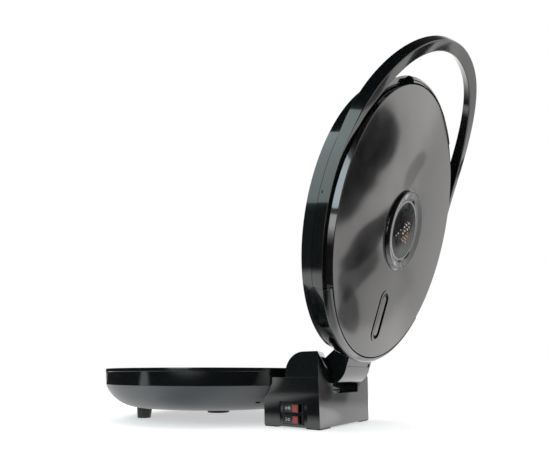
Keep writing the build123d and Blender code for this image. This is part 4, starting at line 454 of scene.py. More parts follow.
def lit_lens(name, base):
    """Red polycarbonate lamp cap: clear gloss with a warm glow from the lamp behind it."""
    made, tree, shader = material(name, base, 0.18, 1.58)
    place = skin(tree, shader, grain=1.2, depth=0.01, smudge=3, rough=(0.14, 0.26), tint=0.3)
    middle = add(tree, "TexNoise", {"Vector": place, "Scale": 1 / (6 * MM)})
    glow = add(tree, "MapRange", {"Value": middle, "From Min": 0.35, "From Max": 0.7, "To Min": 0.0,
                                  "To Max": 0.08})
    feed(shader, {"Emission Color": linear("#ff4a22"), "Emission Strength": glow})
    return made


def smoked_acrylic(name):
    """Smoked acrylic lens: almost black, polished, with a faint warm depth."""
    made, tree, shader = material(name, linear("#0d0d0e"), 0.08, 1.49)
    skin(tree, shader, grain=2.5, depth=0.0008, smudge=12, rough=(0.05, 0.14), tint=0.8)
    polish(shader, 0.3, 0.05)
    return made


def printed(name, base):
    """Pad-printed ink: flat and slightly chalky."""
    made, tree, shader = material(name, base, 0.5, 1.5)
    skin(tree, shader, grain=0.3, depth=0.006, smudge=1.5, rough=(0.42, 0.6), tint=0.1)
    return made


def glass_epoxy(name):
    """Green solder mask over glass-fibre board: satin with a faint weave."""
    made, tree, shader = material(name, linear("#1f5a3a"), 0.34, 1.55)
    place = skin(tree, shader, grain=0.8, depth=0.01, smudge=6, rough=(0.28, 0.42), tint=0.5)
    weave = add(tree, "TexWave", {"Vector": place, "Scale": 1 / (6 * MM), "Distortion": 0.6})
    deep, bright = linear("#1b5235"), linear("#2a6b47")
    mixed = add(tree, "Mix", {0: weave, 6: deep, 7: bright}, out=2, data_type="RGBA")
    feed(shader, {"Base Color": mixed})
    return made


def make_materials():
    """All finishes by their slot names, and every frame node given its own."""
    tone = bpy.context.scene.maker_finishes
    made = {
        "shell_black": gloss_abs("moulded_gloss_ABS_band", tone.band[:], 0.12),
        "rim_black": gloss_abs("moulded_gloss_ABS_rim", tone.rim[:], 0.12),
        "dome_black": cover_abs("moulded_gloss_ABS_cover", tone.cover[:]),
        "handle_black": gloss_abs("moulded_gloss_ABS_handle", tone.handle[:], 0.1),
        "trim_black": gloss_abs("moulded_gloss_ABS_bezel", linear("#101112"), 0.1),
        "plate_coating": nonstick("sprayed_nonstick_coating", tone.plate[:]),
        "heater_steel": bare_metal("annealed_stainless_tube", "#8d8780", 0.42, 0.5, 0.01),
        "reflector_sheet": bare_metal("rolled_aluminised_sheet", "#c3c5c8", 0.3, 0.8, 0.006, (1, 0.08, 1)),
        "thermostat_can": bare_metal("pressed_zinc_plated_steel", "#b4b2a8", 0.33, 0.5, 0.008),
        "foot_black": matt_pa("textured_polyamide_foot", linear("#161718"), 0.5),
        "pad_rubber": rubber("moulded_nitrile_rubber", "#18191a"),
        "screw_steel": bare_metal("zinc_plated_screw_steel", "#a9abad", 0.32, 0.4, 0.01),
        "pin_steel": bare_metal("ground_steel_pin", "#b9bcc0", 0.2, 0.3, 0.004, (0.1, 1, 1)),
        "bush_plastic": matt_pa("moulded_acetal_bush", linear("#d9d8d0"), 0.4),
        "switch_black": matt_pa("moulded_polyamide_switch", tone.rocker[:], 0.34),
        "rocker_black": gloss_abs("moulded_polycarbonate_rocker", tone.rocker[:], 0.24),
        "rocker_red": lit_lens("red_polycarbonate_lamp_cap", tone.lamp[:]),
        "terminal_brass": bare_metal("stamped_brass", "#c9a75c", 0.3, 0.4, 0.006),
        "block_plastic": matt_pa("natural_polyamide_block", linear("#dcd8c8"), 0.45),
        "gland_black": matt_pa("textured_polyamide_gland", linear("#1a1b1c"), 0.45),
        "trim_ring": bare_metal("spun_satin_aluminium_trim", "#c8cacc", 0.26, 0.35, 0.004),
        "panel_glass": smoked_acrylic("smoked_acrylic_lens"),
        "board_green": glass_epoxy("solder_masked_glass_epoxy"),
        "lamp_plastic": printed("frosted_epoxy_lamp", linear("#e8a05a")),
    }
    for node in frame["nodes"].values():
        for slot in node.material_slots:
            slot.material = made[slot.material.name.split(".")[0]]
    black_oxide = bare_metal("black_oxide_screw_steel", "#141516", 0.4, 0.4, 0.01)
    for slot in frame["nodes"]["handle_screws"].material_slots:
        slot.material = black_oxide
    return made


class MakeFinishes(bpy.types.Operator):
    """Makes every finish and gives it to the frame's own pieces"""
    bl_idname = "maker.finishes"
    bl_label = "Finishes"

    def execute(self, context):
        tone = context.scene.maker_finishes
        FINISH.update(make_materials())
        # The bowl's paler underside grey is painted floor reflection.
        FINISH["bowl"] = bowl_abs("moulded_ABS_bowl_painted_pale_underside", tone.band[:], tone.bowl[:],
                                  context.scene.maker_pan.band_foot)
        FINISH["mark_white"] = printed("pad_printed_white_ink", tone.mark[:])
        FINISH["mark_orange"] = printed("pad_printed_orange_ink", linear("#b0703e"))
        return {"FINISHED"}


# Pan
class MakeBowl(bpy.types.Operator):
    """Turns the moulded bowl with its crease and cuts its two seam slots"""
    bl_idname = "maker.bowl"
    bl_label = "Bowl"

    def execute(self, context):
        pan = context.scene.maker_pan
        wall = pan.wall
        band_inset, band_taper, crease_step, crease_rise = mm(0.3, 1.4, 0.7, 0.2)
        bulge_inset, bulge_height = mm(16.4, 32.0)
        top = pan.rim_top - pan.rim_drop
        band = pan.radius - band_inset
        foot = band - band_taper
        crease = foot - crease_step
        slope = wall * math.sqrt(0.5)
        bulge = pan.radius - bulge_inset
        outer = arc((pan.floor_radius, pan.floor_height), (bulge, bulge_height), (crease, pan.band_foot), 22)
        inner = arc((pan.floor_radius, pan.floor_height + wall), (bulge - slope, bulge_height + slope),
                    (crease - wall, pan.band_foot), 16)
        outline = [(0, pan.floor_height), *outer, (foot, pan.band_foot + crease_rise), (band, top),
                   (band - wall, top), (foot - wall, pan.band_foot), *reversed(inner),
                   (0, pan.floor_height + wall)]
        bowl = turned("pan_bowl", outline, pan.turns, closed=False)
        for side in SIDES:
            cut(bowl, self.slot_cutter(side))
        finished(bowl, PAN_PLACE, 0.35, 2, 34)
        settle(bowl, "base", "shell_black", "base_shell", made=FINISH["bowl"])
        return {"FINISHED"}

    def slot_cutter(self, side):
        """Flat bar that cuts one narrow slot beside the hinge housing."""
        slot_angle = math.radians(90 - side * 28)
        slot_radius, slot_height = mm(160, 30)
        slot = primitive("slot_cutter", "cube", size=1, location=(0, 0, 0))
        bpy.ops.object.mode_set(mode="OBJECT")
        slot.matrix_world = (Matrix.Rotation(slot_angle, 4, "Z")
                             @ Matrix.Translation((slot_radius, 0, slot_height))
                             @ Matrix.Diagonal((*mm(24, 7, 2.2), 1)))
        return slot


class MakeRim(bpy.types.Operator):
    """Turns the rim ring that closes the top of the bowl"""
    bl_idname = "maker.rim"
    bl_label = "Rim ring"

    def execute(self, context):
        pan = context.scene.maker_pan
        skirt_wall = 1.4 * MM
        outer, inner, top = pan.radius, pan.radius - pan.rim_width, pan.rim_top
        skirt, seat, low = outer - skirt_wall, top - pan.rim_seat, top - pan.rim_drop
        ring = turned("pan_rim", [(inner, seat), (skirt, seat), (skirt, low), (outer, low), (outer, top),
                                  (inner, top)], pan.turns)
        finished(ring, PAN_PLACE, 0.75, 3, 40)
        settle(ring, "base", "rim_black", "base_rim_ring")
        return {"FINISHED"}


class MakePlate(bpy.types.Operator):
    """Turns the dished baking plate with its sloped wall and its flange"""
    bl_idname = "maker.plate"
    bl_label = "Baking plate"

    def execute(self, context):
        pan = context.scene.maker_pan
        foot_inset, lean, flange_inset, thick, flange_thick = mm(23, 5.5, 1.45, 2.5, 2)
        top = pan.rim_top - pan.rim_seat
        floor = top - pan.plate_depth
        wall_foot = pan.radius - foot_inset
        wall_top = wall_foot + lean
        flange, flange_low = pan.radius - flange_inset, top - flange_thick
        outline = [(0, floor - thick), (wall_foot + thick / 2, floor - thick),
                   (wall_top + thick, flange_low), (flange, flange_low), (flange, top), (wall_top, top),
                   (wall_foot, floor), (0, floor)]
        plate = turned("baking_plate", outline, pan.turns, closed=False)
        finished(plate, PAN_PLACE, 1.1, 3, 40)
        settle(plate, "base", "plate_coating", "lower_plate")
        return {"FINISHED"}


class MakeFeet(bpy.types.Operator):
    """Turns one tapered foot with its screw pocket, copies it, and turns the cap between them"""
    bl_idname = "maker.feet"
    bl_label = "Feet and cap"

    def execute(self, context):
        pan = context.scene.maker_pan
        taper, head, hole, pocket, cap_radius, cap_head, cap_pocket = mm(2, 4.6, 1.9, 7, 18, 3.5, 4)
        tip, root, high = pan.foot_radius - taper, pan.foot_radius, pan.floor_height
        outline = [(head, 0), (tip, 0), (root, high), (hole, high), (hole, pocket), (head, pocket)]
        foot = turned("foot_right", outline, 64)
        finished(foot, PAN_PLACE @ Matrix.Translation(mm(96, -70, 0)), 0.8, 3, 40)
        twin = mirrored(foot, "foot_left")
        settle(foot, "base", "foot_black", "front_foot_right")
        settle(twin, "base", "foot_black", "front_foot_left")
        low = pan.cap_height
        seat = low + cap_pocket
        cap = turned("middle_cap", [(cap_head, low), (cap_radius, low), (cap_radius, high), (hole, high),
                                    (hole, seat), (cap_head, seat)], 64)
        finished(cap, PAN_PLACE, 1.2, 3, 40)
        settle(cap, "base", "foot_black", "centre_cap")
        return {"FINISHED"}


# Housing and switches
class MakeHousing(bpy.types.Operator):
    """Rounds the edges of the hinge housing, its neck and its rubber pads"""
    bl_idname = "maker.housing"
    bl_label = "Hinge housing"

    def execute(self, context):
        dressed("hinge_housing", "housing_shell", "base", "shell_black", 0.45)
        dressed("lid_neck", "hinge_neck", "lid", "shell_black", 0.6)
        dressed("rubber_pads", "housing_pads", "base", "pad_rubber", 0.4)
        return {"FINISHED"}


class MakeSwitches(bpy.types.Operator):
    """Rounds both switch frames, their rockers and the red lamp caps, and prints a bar and a ring on each"""
    bl_idname = "maker.switches"
    bl_label = "Rocker switches"

    def marks(self, level):
        """Raised bar and ring on the black half of a rocker, laid on its sloping face."""
        bar_place, ring_place, ring_radius, ring_wire, face_reach = mm(-8.4, -4.2, 1.45, 0.35, 4.7)
        face_slope, rocker_lean = math.atan2(1.7, 11.9), math.radians(-7)
        marks = primitive(level + "_rocker_marks", "cube", size=1, location=(0, bar_place, 0),
                          scale=mm(0.14, 0.8, 3.6))
        bpy.ops.mesh.primitive_torus_add(location=(0, ring_place, 0), rotation=(0, math.pi / 2, 0),
                                         major_segments=32, minor_segments=6, major_radius=ring_radius,
                                         minor_radius=ring_wire)
        bpy.ops.object.mode_set(mode="OBJECT")
        pivot = Matrix.Translation(JOINTS[level + "_rocker_tip"]["pos_m"])
        face = Matrix.Translation((face_reach, 0, 0)) @ Matrix.Rotation(face_slope, 4, "Z")
        return finished(marks, pivot @ Matrix.Rotation(rocker_lean, 4, "Z") @ face, 0.05, 1, 60)

    def execute(self, context):
        for level in ("lower", "upper"):
            body = level + "_rocker_body"
            dressed(level + "_switch_frame", level + "_switch_body", "base", "switch_black", 0.35)
            dressed(level + "_rocker_key", level + "_rocker", body, "rocker_black", 0.45, 3)
            dressed(level + "_lamp_cap", level + "_rocker_lamp", body, "rocker_red", 0.4, 3)
            settle(self.marks(level), body, "rocker_black", made=FINISH["mark_white"])
        return {"FINISHED"}


# Lid
class MakeCover(bpy.types.Operator):
    """Turns the lid's wide shallow cover and cuts its round-ended opening"""
    bl_idname = "maker.cover"
    bl_label = "Lid cover"

    def execute(self, context):
        lid = context.scene.maker_lid
        edge = 1.0 * MM
        side = lid.dome_radius - lid.dome_draft
        rim = side - edge
        top = lid.dome_height + lid.dome_crown
        ball = (rim ** 2 + lid.dome_crown ** 2) / (2 * lid.dome_crown)

        def crown(radius, drop=0.0):
            return radius, top - ball + math.sqrt(ball ** 2 - radius ** 2) - drop

        corner = edge * (1 - math.sqrt(0.5))
        bend = arc((side, lid.dome_height - edge), (side - corner, lid.dome_height - corner),
                   (rim, lid.dome_height), 6)
        face = [crown(rim + (lid.neck_hole - rim) * index / 14) for index in range(1, 15)]
        inner = side - lid.wall
        back = [crown(lid.neck_hole + (inner - lid.neck_hole) * index / 8, lid.wall) for index in range(9)]
        foot = lid.dome_radius + lid.dome_flare
        outline = [(foot, lid.dome_foot), *bend, *face, *back, (inner, lid.dome_foot)]
        cover = turned("lid_cover", outline, 256)
        opening = rounded_bar("opening_cutter", lid.slot_width, lid.slot_length, lid.dome_foot, top + 5 * MM,
                              (0, lid.slot_place))
        cut(cover, opening)
        finished(cover, LID_PLACE, 0.25, 2, 40)
        settle(cover, "lid", "dome_black", "lid_dome")
        return {"FINISHED"}


class MakeBand(bpy.types.Operator):
    """Rounds the lid's flared band with its shoulders and arm channels, and the tray in the cover"""
    bl_idname = "maker.band"
    bl_label = "Lid band and tray"

    def execute(self, context):
        dressed("lid_band", "lid_ring", "lid", "shell_black", 0.3)
        dressed("slot_tray", "rear_slot_tray", "lid", "trim_black", 0.5, 3)
        return {"FINISHED"}


def change(angle, stretch):
    """Smooth step from 0 to 1 over a stretch of the handle, given by where it starts and its length."""
    start, degrees = stretch
    t = min(max((angle - start) / degrees, 0.0), 1.0)
    return t * t * (3 - 2 * t)


def rounded_corner(before, corner, after, radius, count):
    """Points of the arc that rounds one corner of an outline."""
    back, ahead = (before - corner).normalized(), (after - corner).normalized()
    half = back.angle(ahead) / 2
    middle = corner + (back + ahead).normalized() * radius / math.sin(half)
    first = corner + back * radius / math.tan(half) - middle
    turn = first.angle_signed(corner + ahead * radius / math.tan(half) - middle)
    return [middle + Matrix.Rotation(-turn * index / count, 2) @ first for index in range(count + 1)]


# Stretches of the handle over which its shape changes, in degrees forward of the lid's side
REACH_STRETCH = (12, 72)
WIDTH_STRETCH = (14, 26)
EDGE_STRETCH = (12, 26)
LOWER_STRETCH = (18, 72)
UPPER_STRETCH = (-5, 95)
ROLL_STRETCH = (25, 65)
BOW_ROLL = math.radians(36)
LOWER_CURVE = 1.1
UPPER_CURVE = 1.6
HANDLE_START = -36
HANDLE_STEP = 2
HANDLE_SECTIONS = 64


def handle_section(angle, handle):
    """Rounded section of the handle's bar at an angle forward of the lid's right side."""
    reach = handle.reach * change(angle, REACH_STRETCH)
    width = handle.tail_width + (handle.width - handle.tail_width) * change(angle, WIDTH_STRETCH)
    low = handle.bottom + handle.lower_rise * change(angle, LOWER_STRETCH) ** LOWER_CURVE
    high = handle.top + handle.upper_rise * change(angle, UPPER_STRETCH) ** UPPER_CURVE
    roll = BOW_ROLL * change(angle, ROLL_STRETCH)
    blend = change(angle, EDGE_STRETCH)
    shoulder = handle.shoulder_radius
    flared = shoulder - handle.flare * (1 - handle.bottom / handle.top)
    foot = flared * (1 - blend) + shoulder * blend
    middle = Vector((shoulder + reach - width / 2, (low + high) / 2))
    corners = [middle + Matrix.Rotation(roll, 2) @ (Vector(corner) - middle) for corner in (
        (foot + reach, low), (shoulder + reach, high), (shoulder + reach - width, high),
        (shoulder + reach - width, low))]
    edge = handle.seam_edge + (handle.edge - handle.seam_edge) * blend
    outline = []
    for index, corner in enumerate(corners):
        outline += rounded_corner(corners[index - 1], corner, corners[(index + 1) % 4], edge, 5)
    turn = math.radians(angle)
    return [Vector((radius * math.cos(turn), -radius * math.sin(turn), height))
            for radius, height in outline]


class MakeHandle(bpy.types.Operator):
    """Extrudes one half of the bail handle from arm to bow and mirrors it"""
    bl_idname = "maker.handle"
    bl_label = "Handle"

    def execute(self, context):
        handle = context.scene.maker_handle
        ring_places = [handle_section(HANDLE_START + HANDLE_STEP * index, handle)
                       for index in range(HANDLE_SECTIONS)]
        piece = primitive("bail_handle", "circle", vertices=len(ring_places[0]), radius=handle.width,
                          fill_type="NGON")
        before = None
        for places in ring_places:
            if before:
                bpy.ops.mesh.extrude_region_move()
            mesh = bmesh.from_edit_mesh(piece.data)
            face = next(f for f in mesh.faces if f.select)
            ring = [loop.vert for loop in face.loops]
            if before:
                ring = [min(ring, key=lambda vertex: (vertex.co - place).length) for place in before]
            for vertex, place in zip(ring, places):
                vertex.co = place
            bmesh.update_edit_mesh(piece.data)
            before = places
        bpy.ops.mesh.delete(type="ONLY_FACE")
        bpy.ops.object.mode_set(mode="OBJECT")
        modified(piece, "MIRROR", use_axis=(True, False, False), merge_threshold=MM / 100)
        outward()
        finished(piece, LID_PLACE)
        settle(piece, "lid", "handle_black", "handle_loop")
        return {"FINISHED"}


class MakePanel(bpy.types.Operator):
    """Turns the panel's bezel, its thin bright ring and its lens, and sets small marks on the lens"""
    bl_idname = "maker.panel"
    bl_label = "Panel"

    def execute(self, context):
        lid, panel = context.scene.maker_lid, context.scene.maker_panel
        base = lid.dome_height + lid.dome_crown
        ring_top = base + panel.bezel_height - panel.recess
        lens_low = base - 1.1 * MM
        bezel = turned("panel_surround", self.bezel_outline(panel, base, ring_top, lens_low), 160)
        finished(bezel, LID_PLACE, 0.6, 4, 14)
        settle(bezel, "lid", "trim_black", "panel_bezel")
        trim_outer = panel.opening - 0.15 * MM
        trim_inner = trim_outer - panel.trim_width
        trim = turned("lens_trim", [(trim_inner, lens_low), (trim_outer, lens_low), (trim_outer, ring_top),
                                    (trim_inner, ring_top)], 128)
        finished(trim, LID_PLACE, 0.3, 3, 40)
        settle(trim, "lid", "trim_ring", "panel_trim")
        edge = trim_inner - 0.15 * MM
        face = lens_low + panel.lens_thickness
        lens = turned("panel_window", [(0, lens_low), (edge, lens_low), (edge, face), (0, face)], 128,
                      closed=False)
        finished(lens, LID_PLACE, 0.4, 3, 40)
        settle(lens, "lid", "panel_glass", "panel_lens")
        self.marks("panel_marks_orange", LENS_MARKS[::2], face, "mark_orange")
        self.marks("panel_marks_white", LENS_MARKS[1::2] + SIDE_MARKS, face, "mark_white")
        return {"FINISHED"}

    def bezel_outline(self, panel, base, ring_top, lens_low):
        """Raised ring with a sloping inner face, a shelf under the lens and a neck through the cover."""
        outer = panel.bezel_radius
        chamfer, crown_outer, crown_inner, slope_run, slope_rise = mm(1.4, 51.6, 50, 3.6, 0.5)
        side_low, side_high, shelf_thick, neck_drop = mm(1, 3.4, 2, 6)
        shelf_inner, neck_inner, neck_outer = mm(35, 46, 49.85)
        high = base + panel.bezel_height
        opening, shelf_low, neck_low = panel.opening, lens_low - shelf_thick, base - neck_drop
        return [(outer, base), (outer, base + side_low), (outer - chamfer, base + side_high),
                (crown_outer, high), (crown_inner, high), (opening + slope_run, ring_top + slope_rise),
                (opening, ring_top), (opening, lens_low), (shelf_inner, lens_low), (shelf_inner, shelf_low),
                (neck_inner, shelf_low), (neck_inner, neck_low), (neck_outer, neck_low), (neck_outer, base)]

    def marks(self, name, places, face, ink):
        """Small flat bars on the lens's face, joined into one piece."""
        mark_place, mark_thick = mm(0.05, 0.16)
        marks = primitive(name, "cube", size=MM, location=(0, 0, face))
        bpy.ops.mesh.delete(type="VERT")
        for x, y, wide, tall in places:
            bpy.ops.mesh.primitive_cube_add(size=1, location=(x * MM, y * MM, face + mark_place),
                                            scale=(wide * MM, tall * MM, mark_thick))
        bpy.ops.object.mode_set(mode="OBJECT")
        settle(finished(marks, LID_PLACE, 0.06, 1, 40), "lid", "lamp_plastic", made=FINISH[ink])


def lens_mark(row, column):
    """Middle and size in millimetres of one bar in the staggered rows on the lens."""
    odd_row, odd_sum = row % 2, (row + column) % 2
    return -14.0 + 5.4 * column + 1.4 * odd_row, -13.0 + 4.2 * row, 4.0, 1.5 + 0.9 * odd_sum


# Bars on the lens in seven rows of four, with every fifth one left out, and three more beside them
LENS_MARKS = [lens_mark(row, column) for row in range(7) for column in range(4)
              if (row * 4 + column) % 5 != 3]
SIDE_MARKS = [(12.0, 2.0, 2.2, 2.0), (17.0, 8.0, 2.6, 2.0), (21.0, 12.0, 2.0, 2.4)]


# Stage
def blotch(tree, plane, middle, half, turn, soft=0.2):
    """Soft-edged ellipse on a plane of the surroundings, 1 in its middle and 0 outside."""
    local = add(tree, "Mapping", {"Vector": plane, "Location": (*middle, 0.0), "Scale": (*half, 1.0),
                                  "Rotation": (0.0, 0.0, math.radians(turn))}, vector_type="TEXTURE")
    far = add(tree, "VectorMath", {0: local}, out="Value", operation="LENGTH")
    return add(tree, "MapRange", {"Value": far, "From Min": 1 + soft, "From Max": 1 - soft},
               interpolation_type="SMOOTHSTEP")


EYE_PLACE = (0.539, 0.3765, 0.0665)
EYE_WAY = Vector((-0.8015, -0.5717, 0.1754))
EYE_LENS = 27.64
EYE_SHIFT = 0.136
FLOOR_SIDE = 14
LAMP_AIM = Vector((0.18, 0.20, 0.30))
LAMP_DISTANCE = 1.5
# Lamps with their azimuths and heights in degrees, widths and heights in metres, watts and colours
LAMPS = {
    "bright_softbox": (-6, 22, 0.70, 1.50, 17.0, "#e2f2f8"),
    "dim_softbox": (-50, 38, 0.58, 1.30, 3.8, "#e2f2f2"),
    "overhead_fill": (140, 75, 1.30, 1.30, 15.0, "#fffaf4"),
    "front_fill": (-100, 35, 1.20, 1.20, 12.0, "#fffaf4"),
}


def direction(azimuth, height):
    """Unit vector at an azimuth from +X and a height above the horizon, both in degrees."""
    turn, rise = math.radians(azimuth), math.radians(height)
    return Vector((math.cos(turn) * math.cos(rise), math.sin(turn) * math.cos(rise), math.sin(rise)))


def place_camera(scene):
    """The camera at the photograph's place and angle."""
    eye = bpy.data.objects.new("camera", bpy.data.cameras.new("camera"))
    scene.collection.objects.link(eye)
    eye.location = EYE_PLACE
    eye.rotation_euler = EYE_WAY.to_track_quat("-Z", "Y").to_euler()
    eye.data.lens = EYE_LENS
    eye.data.sensor_width = 36
    eye.data.shift_y = EYE_SHIFT
    scene.camera = eye


def place_lamp(scene, name, azimuth, height, wide, tall, power, code):
    """A soft rectangular lamp; only the softboxes are mirrored by the object."""
    lamp = bpy.data.objects.new(name, bpy.data.lights.new(name, "AREA"))
    scene.collection.objects.link(lamp)
    way = direction(azimuth, height)
    lamp.location = LAMP_AIM + LAMP_DISTANCE * way
    lamp.rotation_euler = way.to_track_quat("Z", "Y").to_euler()
    lamp.data.shape = "RECTANGLE"
    lamp.data.size, lamp.data.size_y = wide, tall
    lamp.data.energy = power
    lamp.data.color = linear(code)[:3]
    lamp.visible_camera = False
    lamp.visible_glossy = name.endswith("softbox")


class MakeStage(bpy.types.Operator):
    """Sets the camera, the pale floor, the soft lights and the studio's surroundings"""
    bl_idname = "maker.stage"
    bl_label = "Stage"

    def execute(self, context):
        scene = context.scene
        scene.view_settings.view_transform = "Standard"
        place_camera(scene)
        floor = primitive("floor", "plane", size=FLOOR_SIDE, location=(0, 0, 0))
        bpy.ops.object.mode_set(mode="OBJECT")
        floor.data.materials.append(floor_paint())
        for name, values in LAMPS.items():
            place_lamp(scene, name, *values)
        surroundings(scene)
        return {"FINISHED"}


NEAR_SIDE = Vector((0.966, -0.259, 0))
DIM = 0.03
FLOOR_LIFT = 0.5
# Stretches in metres over which the floor changes: from the pan, along the near side, along X and along Y
PAN_GLOW = (0.34, 0.44)
WHITE_OUT = (0.35, 1.0)
CAMERA_SIDE = (-0.12, 0.1)
FAR_SIDE = (-0.3, -0.6)
RIGHT_SIDE = (0.12, 0.17)
HOUSING_SIDE = (-0.12, -0.06)
# Cards on the floor that only mirror rays see, with middles and half sizes in metres, turns and strengths
FLOOR_CARDS = {
    "stripe on the band": ((0.66, -0.42), (0.42, 0.05), -33, 1.5),
    "front end of the band": ((0.10, -0.58), (0.07, 0.36), 0, 1.5),
    "foot of the cover's side strip": ((1.45, 0.10), (0.70, 0.30), -4, 3.4),
    "back of the housing": ((-0.10, 0.24), (0.24, 0.07), -30, 1.6),
}


def mirrored_floor(tree, place, distance, aside):
    """Brightness of the floor for mirror rays: pale near the pan, dark on the camera's side, with cards."""
    across, along = [add(tree, "SeparateXYZ", {"Vector": place}, out=axis) for axis in "XY"]
    far, near, right, behind = [
        add(tree, "MapRange", {"Value": value, "From Min": low, "From Max": high})
        for value, (low, high) in ((distance, PAN_GLOW), (aside, CAMERA_SIDE), (across, RIGHT_SIDE),
                                   (along, HOUSING_SIDE))]
    beyond, corner = [add(tree, "Math", {0: first, 1: second}, operation="MULTIPLY")
                      for first, second in ((far, near), (right, behind))]
    dark = add(tree, "Math", {0: beyond, 1: corner}, operation="MAXIMUM")
    level = add(tree, "MapRange", {"Value": dark, "To Min": 1.0, "To Max": DIM})
    for middle, half, turn, bright in FLOOR_CARDS.values():
        card = blotch(tree, place, middle, half, turn, soft=0.4)
        glow = add(tree, "Math", {0: card, 1: bright}, operation="MULTIPLY")
        level = add(tree, "Math", {0: level, 1: glow}, operation="MAXIMUM")
    return level


def floor_paint():
    """Matt white painted sweep: pale and even, it keeps the object's soft shadow."""
    made, tree, shader = material("matt_white_sweep", linear("#e8e8e8"), 0.85, 1.45)
    place = skin(tree, shader, grain=3, depth=0.01, smudge=400, rough=(0.8, 0.9))
    seen, reflected = [add(tree, "LightPath", out=ray) for ray in ("Is Camera Ray", "Is Glossy Ray")]
    lift = add(tree, "Math", {0: seen, 1: FLOOR_LIFT}, operation="MULTIPLY")
    feed(shader, {"Emission Color": (1, 1, 1, 1), "Emission Strength": lift})
    distance = add(tree, "VectorMath", {0: place, 1: PAN_PLACE.to_translation()}, out="Value",
                   operation="DISTANCE")
    aside = add(tree, "VectorMath", {0: place, 1: NEAR_SIDE}, out="Value", operation="DOT_PRODUCT")
    fade = add(tree, "MapRange", {"Value": distance, "From Min": WHITE_OUT[0], "From Max": WHITE_OUT[1]},
               interpolation_type="SMOOTHSTEP")
    haze = add(tree, "Math", {0: fade, 1: seen}, operation="MULTIPLY")
    white = add(tree, "Emission", {"Strength": 1.0})
    lit = add(tree, "MixShader", {0: haze, 1: shader.outputs[0], 2: white})
    mirror = add(tree, "Emission", {"Strength": mirrored_floor(tree, place, distance, aside)})
    far_side = add(tree, "MapRange", {"Value": aside, "From Min": FAR_SIDE[0], "From Max": FAR_SIDE[1]})
    clear = add(tree, "MixShader", {0: far_side, 1: mirror, 2: add(tree, "BsdfTransparent")})
    mixed = add(tree, "MixShader", {0: reflected, 1: lit, 2: clear})
    feed(tree.nodes["Material Output"], {"Surface": mixed})
    return made


# What the flat cover mirrors at the middle of its view, and how far each degree of azimuth and of height
# moves it to the right and down the photograph, in pixels. The plane's unit is 100 pixels.
VIEW_MIDDLE = direction(150, 3)
RIGHT_PER_DEGREE = (6.44, 3.80)
DOWN_PER_DEGREE = (5.21, -6.44)
PLANE_UNIT = 100


def cover_view(tree, way):
    """Plane across the part of the studio that the flat cover mirrors, as right and down over the cover."""
    east = Vector((0, 0, 1)).cross(VIEW_MIDDLE).normalized()
    north = VIEW_MIDDLE.cross(east)
    unit = math.degrees(1) / PLANE_UNIT
    right, down, ahead = [
        add(tree, "VectorMath", {0: way, 1: axis}, out="Value", operation="DOT_PRODUCT")
        for axis in ((RIGHT_PER_DEGREE[0] * east + RIGHT_PER_DEGREE[1] * north) * unit,
                     (DOWN_PER_DEGREE[0] * east + DOWN_PER_DEGREE[1] * north) * unit, VIEW_MIDDLE)]
    front = add(tree, "Math", {0: ahead, 1: 0.3}, operation="GREATER_THAN")
    return add(tree, "CombineXYZ", {"X": right, "Y": down}), front


# Dark flags on the plane that the cover mirrors, with their middles, half sizes, turns and depths
FLAGS = {
    "upper left of the cover": ((-0.08, -0.60), (0.22, 0.60), 26, 0.985),
    "top of the cover": ((0.12, -0.82), (0.17, 0.28), 4, 0.95),
    "wedge left of the panel": ((0.02, 0.18), (0.13, 0.40), 42, 0.93),
    "wedge towards the left edge": ((-0.10, 0.52), (0.14, 0.34), 38, 0.75),
    "left half of the lens": ((0.36, 0.04), (0.10, 0.32), 14, 0.98),
    "lower left edge": ((-0.17, 0.90), (0.11, 0.26), -16, 0.75),
    "around the slot": ((0.16, 0.74), (0.28, 0.40), 20, 0.3),
    "mark above the panel": ((0.45, -0.44), (0.06, 0.18), 38, 0.5),
    "right part of the cover": ((1.02, 0.10), (0.60, 1.80), 8, 0.38),
    "inner slope of the bezel": ((0.95, 1.90), (0.35, 0.50), 0, 0.95),
    "left arm of the handle": ((-0.92, -0.85), (0.16, 0.50), 10, 0.92),
}


# Where brightness starts and ends to change across the camera's axis and up the sky, and its two levels
OPEN_SIDE = (-0.1, -0.6, DIM, 1.05)
UNDER_TOP = (0.86, 0.6, 0.04, 1.0)
DRIFT = 0.05


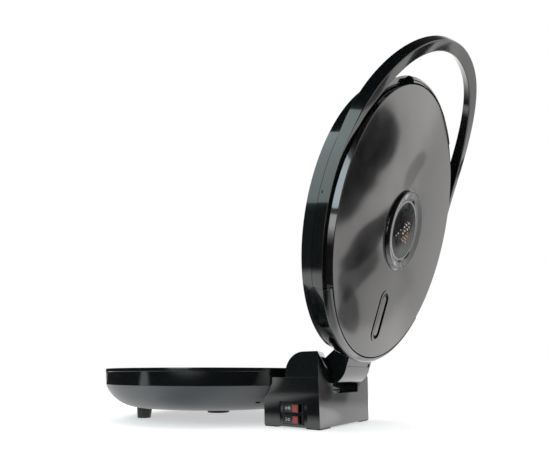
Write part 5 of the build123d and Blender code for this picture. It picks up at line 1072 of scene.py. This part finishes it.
def surroundings(scene):
    """White seen directly; for other rays a bright far side with dark flags and a dim camera side."""
    world = bpy.data.worlds.new("studio")
    scene.world = world
    world.use_nodes = True
    tree = world.node_tree
    tree.nodes.clear()
    way = add(tree, "TexCoord", out="Generated")
    aside = add(tree, "VectorMath", {0: way, 1: NEAR_SIDE}, out="Value", operation="DOT_PRODUCT")
    rise = add(tree, "SeparateXYZ", {"Vector": way}, out="Z")
    open_side, under_top = [
        add(tree, "MapRange", {"Value": value, "From Min": start, "From Max": end, "To Min": low,
                               "To Max": high}, interpolation_type="SMOOTHSTEP")
        for value, (start, end, low, high) in ((aside, OPEN_SIDE), (rise, UNDER_TOP))]
    level = add(tree, "Math", {0: open_side, 1: under_top}, operation="MULTIPLY")
    drift = add(tree, "TexNoise", {"Vector": way, "Scale": 9.0, "Detail": 1.0}, out="Color")
    shift = add(tree, "VectorMath", {0: drift, 1: (0.5, 0.5, 0.5)}, operation="SUBTRACT")
    shift = add(tree, "VectorMath", {0: shift, 1: (DRIFT,) * 3}, operation="MULTIPLY")
    bent = add(tree, "VectorMath", {0: way, 1: shift}, operation="ADD")
    plane, front = cover_view(tree, bent)
    for middle, half, turn, depth in FLAGS.values():
        flag = blotch(tree, plane, middle, half, turn)
        flag = add(tree, "Math", {0: flag, 1: front}, operation="MULTIPLY")
        dim = add(tree, "MapRange", {"Value": flag, "To Min": 1.0, "To Max": 1 - depth})
        level = add(tree, "Math", {0: level, 1: dim}, operation="MULTIPLY")
    mirror = add(tree, "Background", {"Color": linear("#fdfbfa"), "Strength": level})
    white = add(tree, "Background", {"Color": (1.0, 1.0, 1.0, 1.0), "Strength": 1.0})
    seen = add(tree, "LightPath", out="Is Camera Ray")
    mixed = add(tree, "MixShader", {0: seen, 1: mirror, 2: white})
    feed(tree.nodes.new("ShaderNodeOutputWorld"), {"Surface": mixed})


# Panel and main
GROUPS = {"maker_pan": PanSizes, "maker_lid": LidSizes, "maker_handle": HandleSizes,
          "maker_panel": PanelSizes, "maker_finishes": Finishes}
STEPS = (MakeStage, MakeFinishes, MakeBowl, MakeRim, MakePlate, MakeFeet, MakeHousing, MakeSwitches,
         MakeCover, MakeBand, MakeHandle, MakePanel)


class MakerPanel(bpy.types.Panel):
    """Lists the pizza maker's sizes, colours and building steps"""
    bl_idname = "VIEW3D_PT_maker"
    bl_label = "Pizza Maker"
    bl_space_type = "VIEW_3D"
    bl_region_type = "UI"
    bl_category = "Pizza Maker"

    def draw(self, context):
        for group, kind in GROUPS.items():
            box = self.layout.box()
            for key in kind.__annotations__:
                box.prop(getattr(context.scene, group), key)
        for step in STEPS:
            self.layout.operator(step.bl_idname)


CLASSES = (*GROUPS.values(), *STEPS, MakerPanel)


def register():
    for kind in CLASSES:
        bpy.utils.register_class(kind)
    for group, kind in GROUPS.items():
        setattr(bpy.types.Scene, group, PointerProperty(type=kind))


def unregister():
    for group in GROUPS:
        delattr(bpy.types.Scene, group)
    for kind in reversed(CLASSES):
        bpy.utils.unregister_class(kind)


def main():
    """Builds everything in order."""
    register()
    for step in STEPS:
        family, name = step.bl_idname.split(".")
        getattr(getattr(bpy.ops, family), name)()


if __name__ == "__main__":
    main()
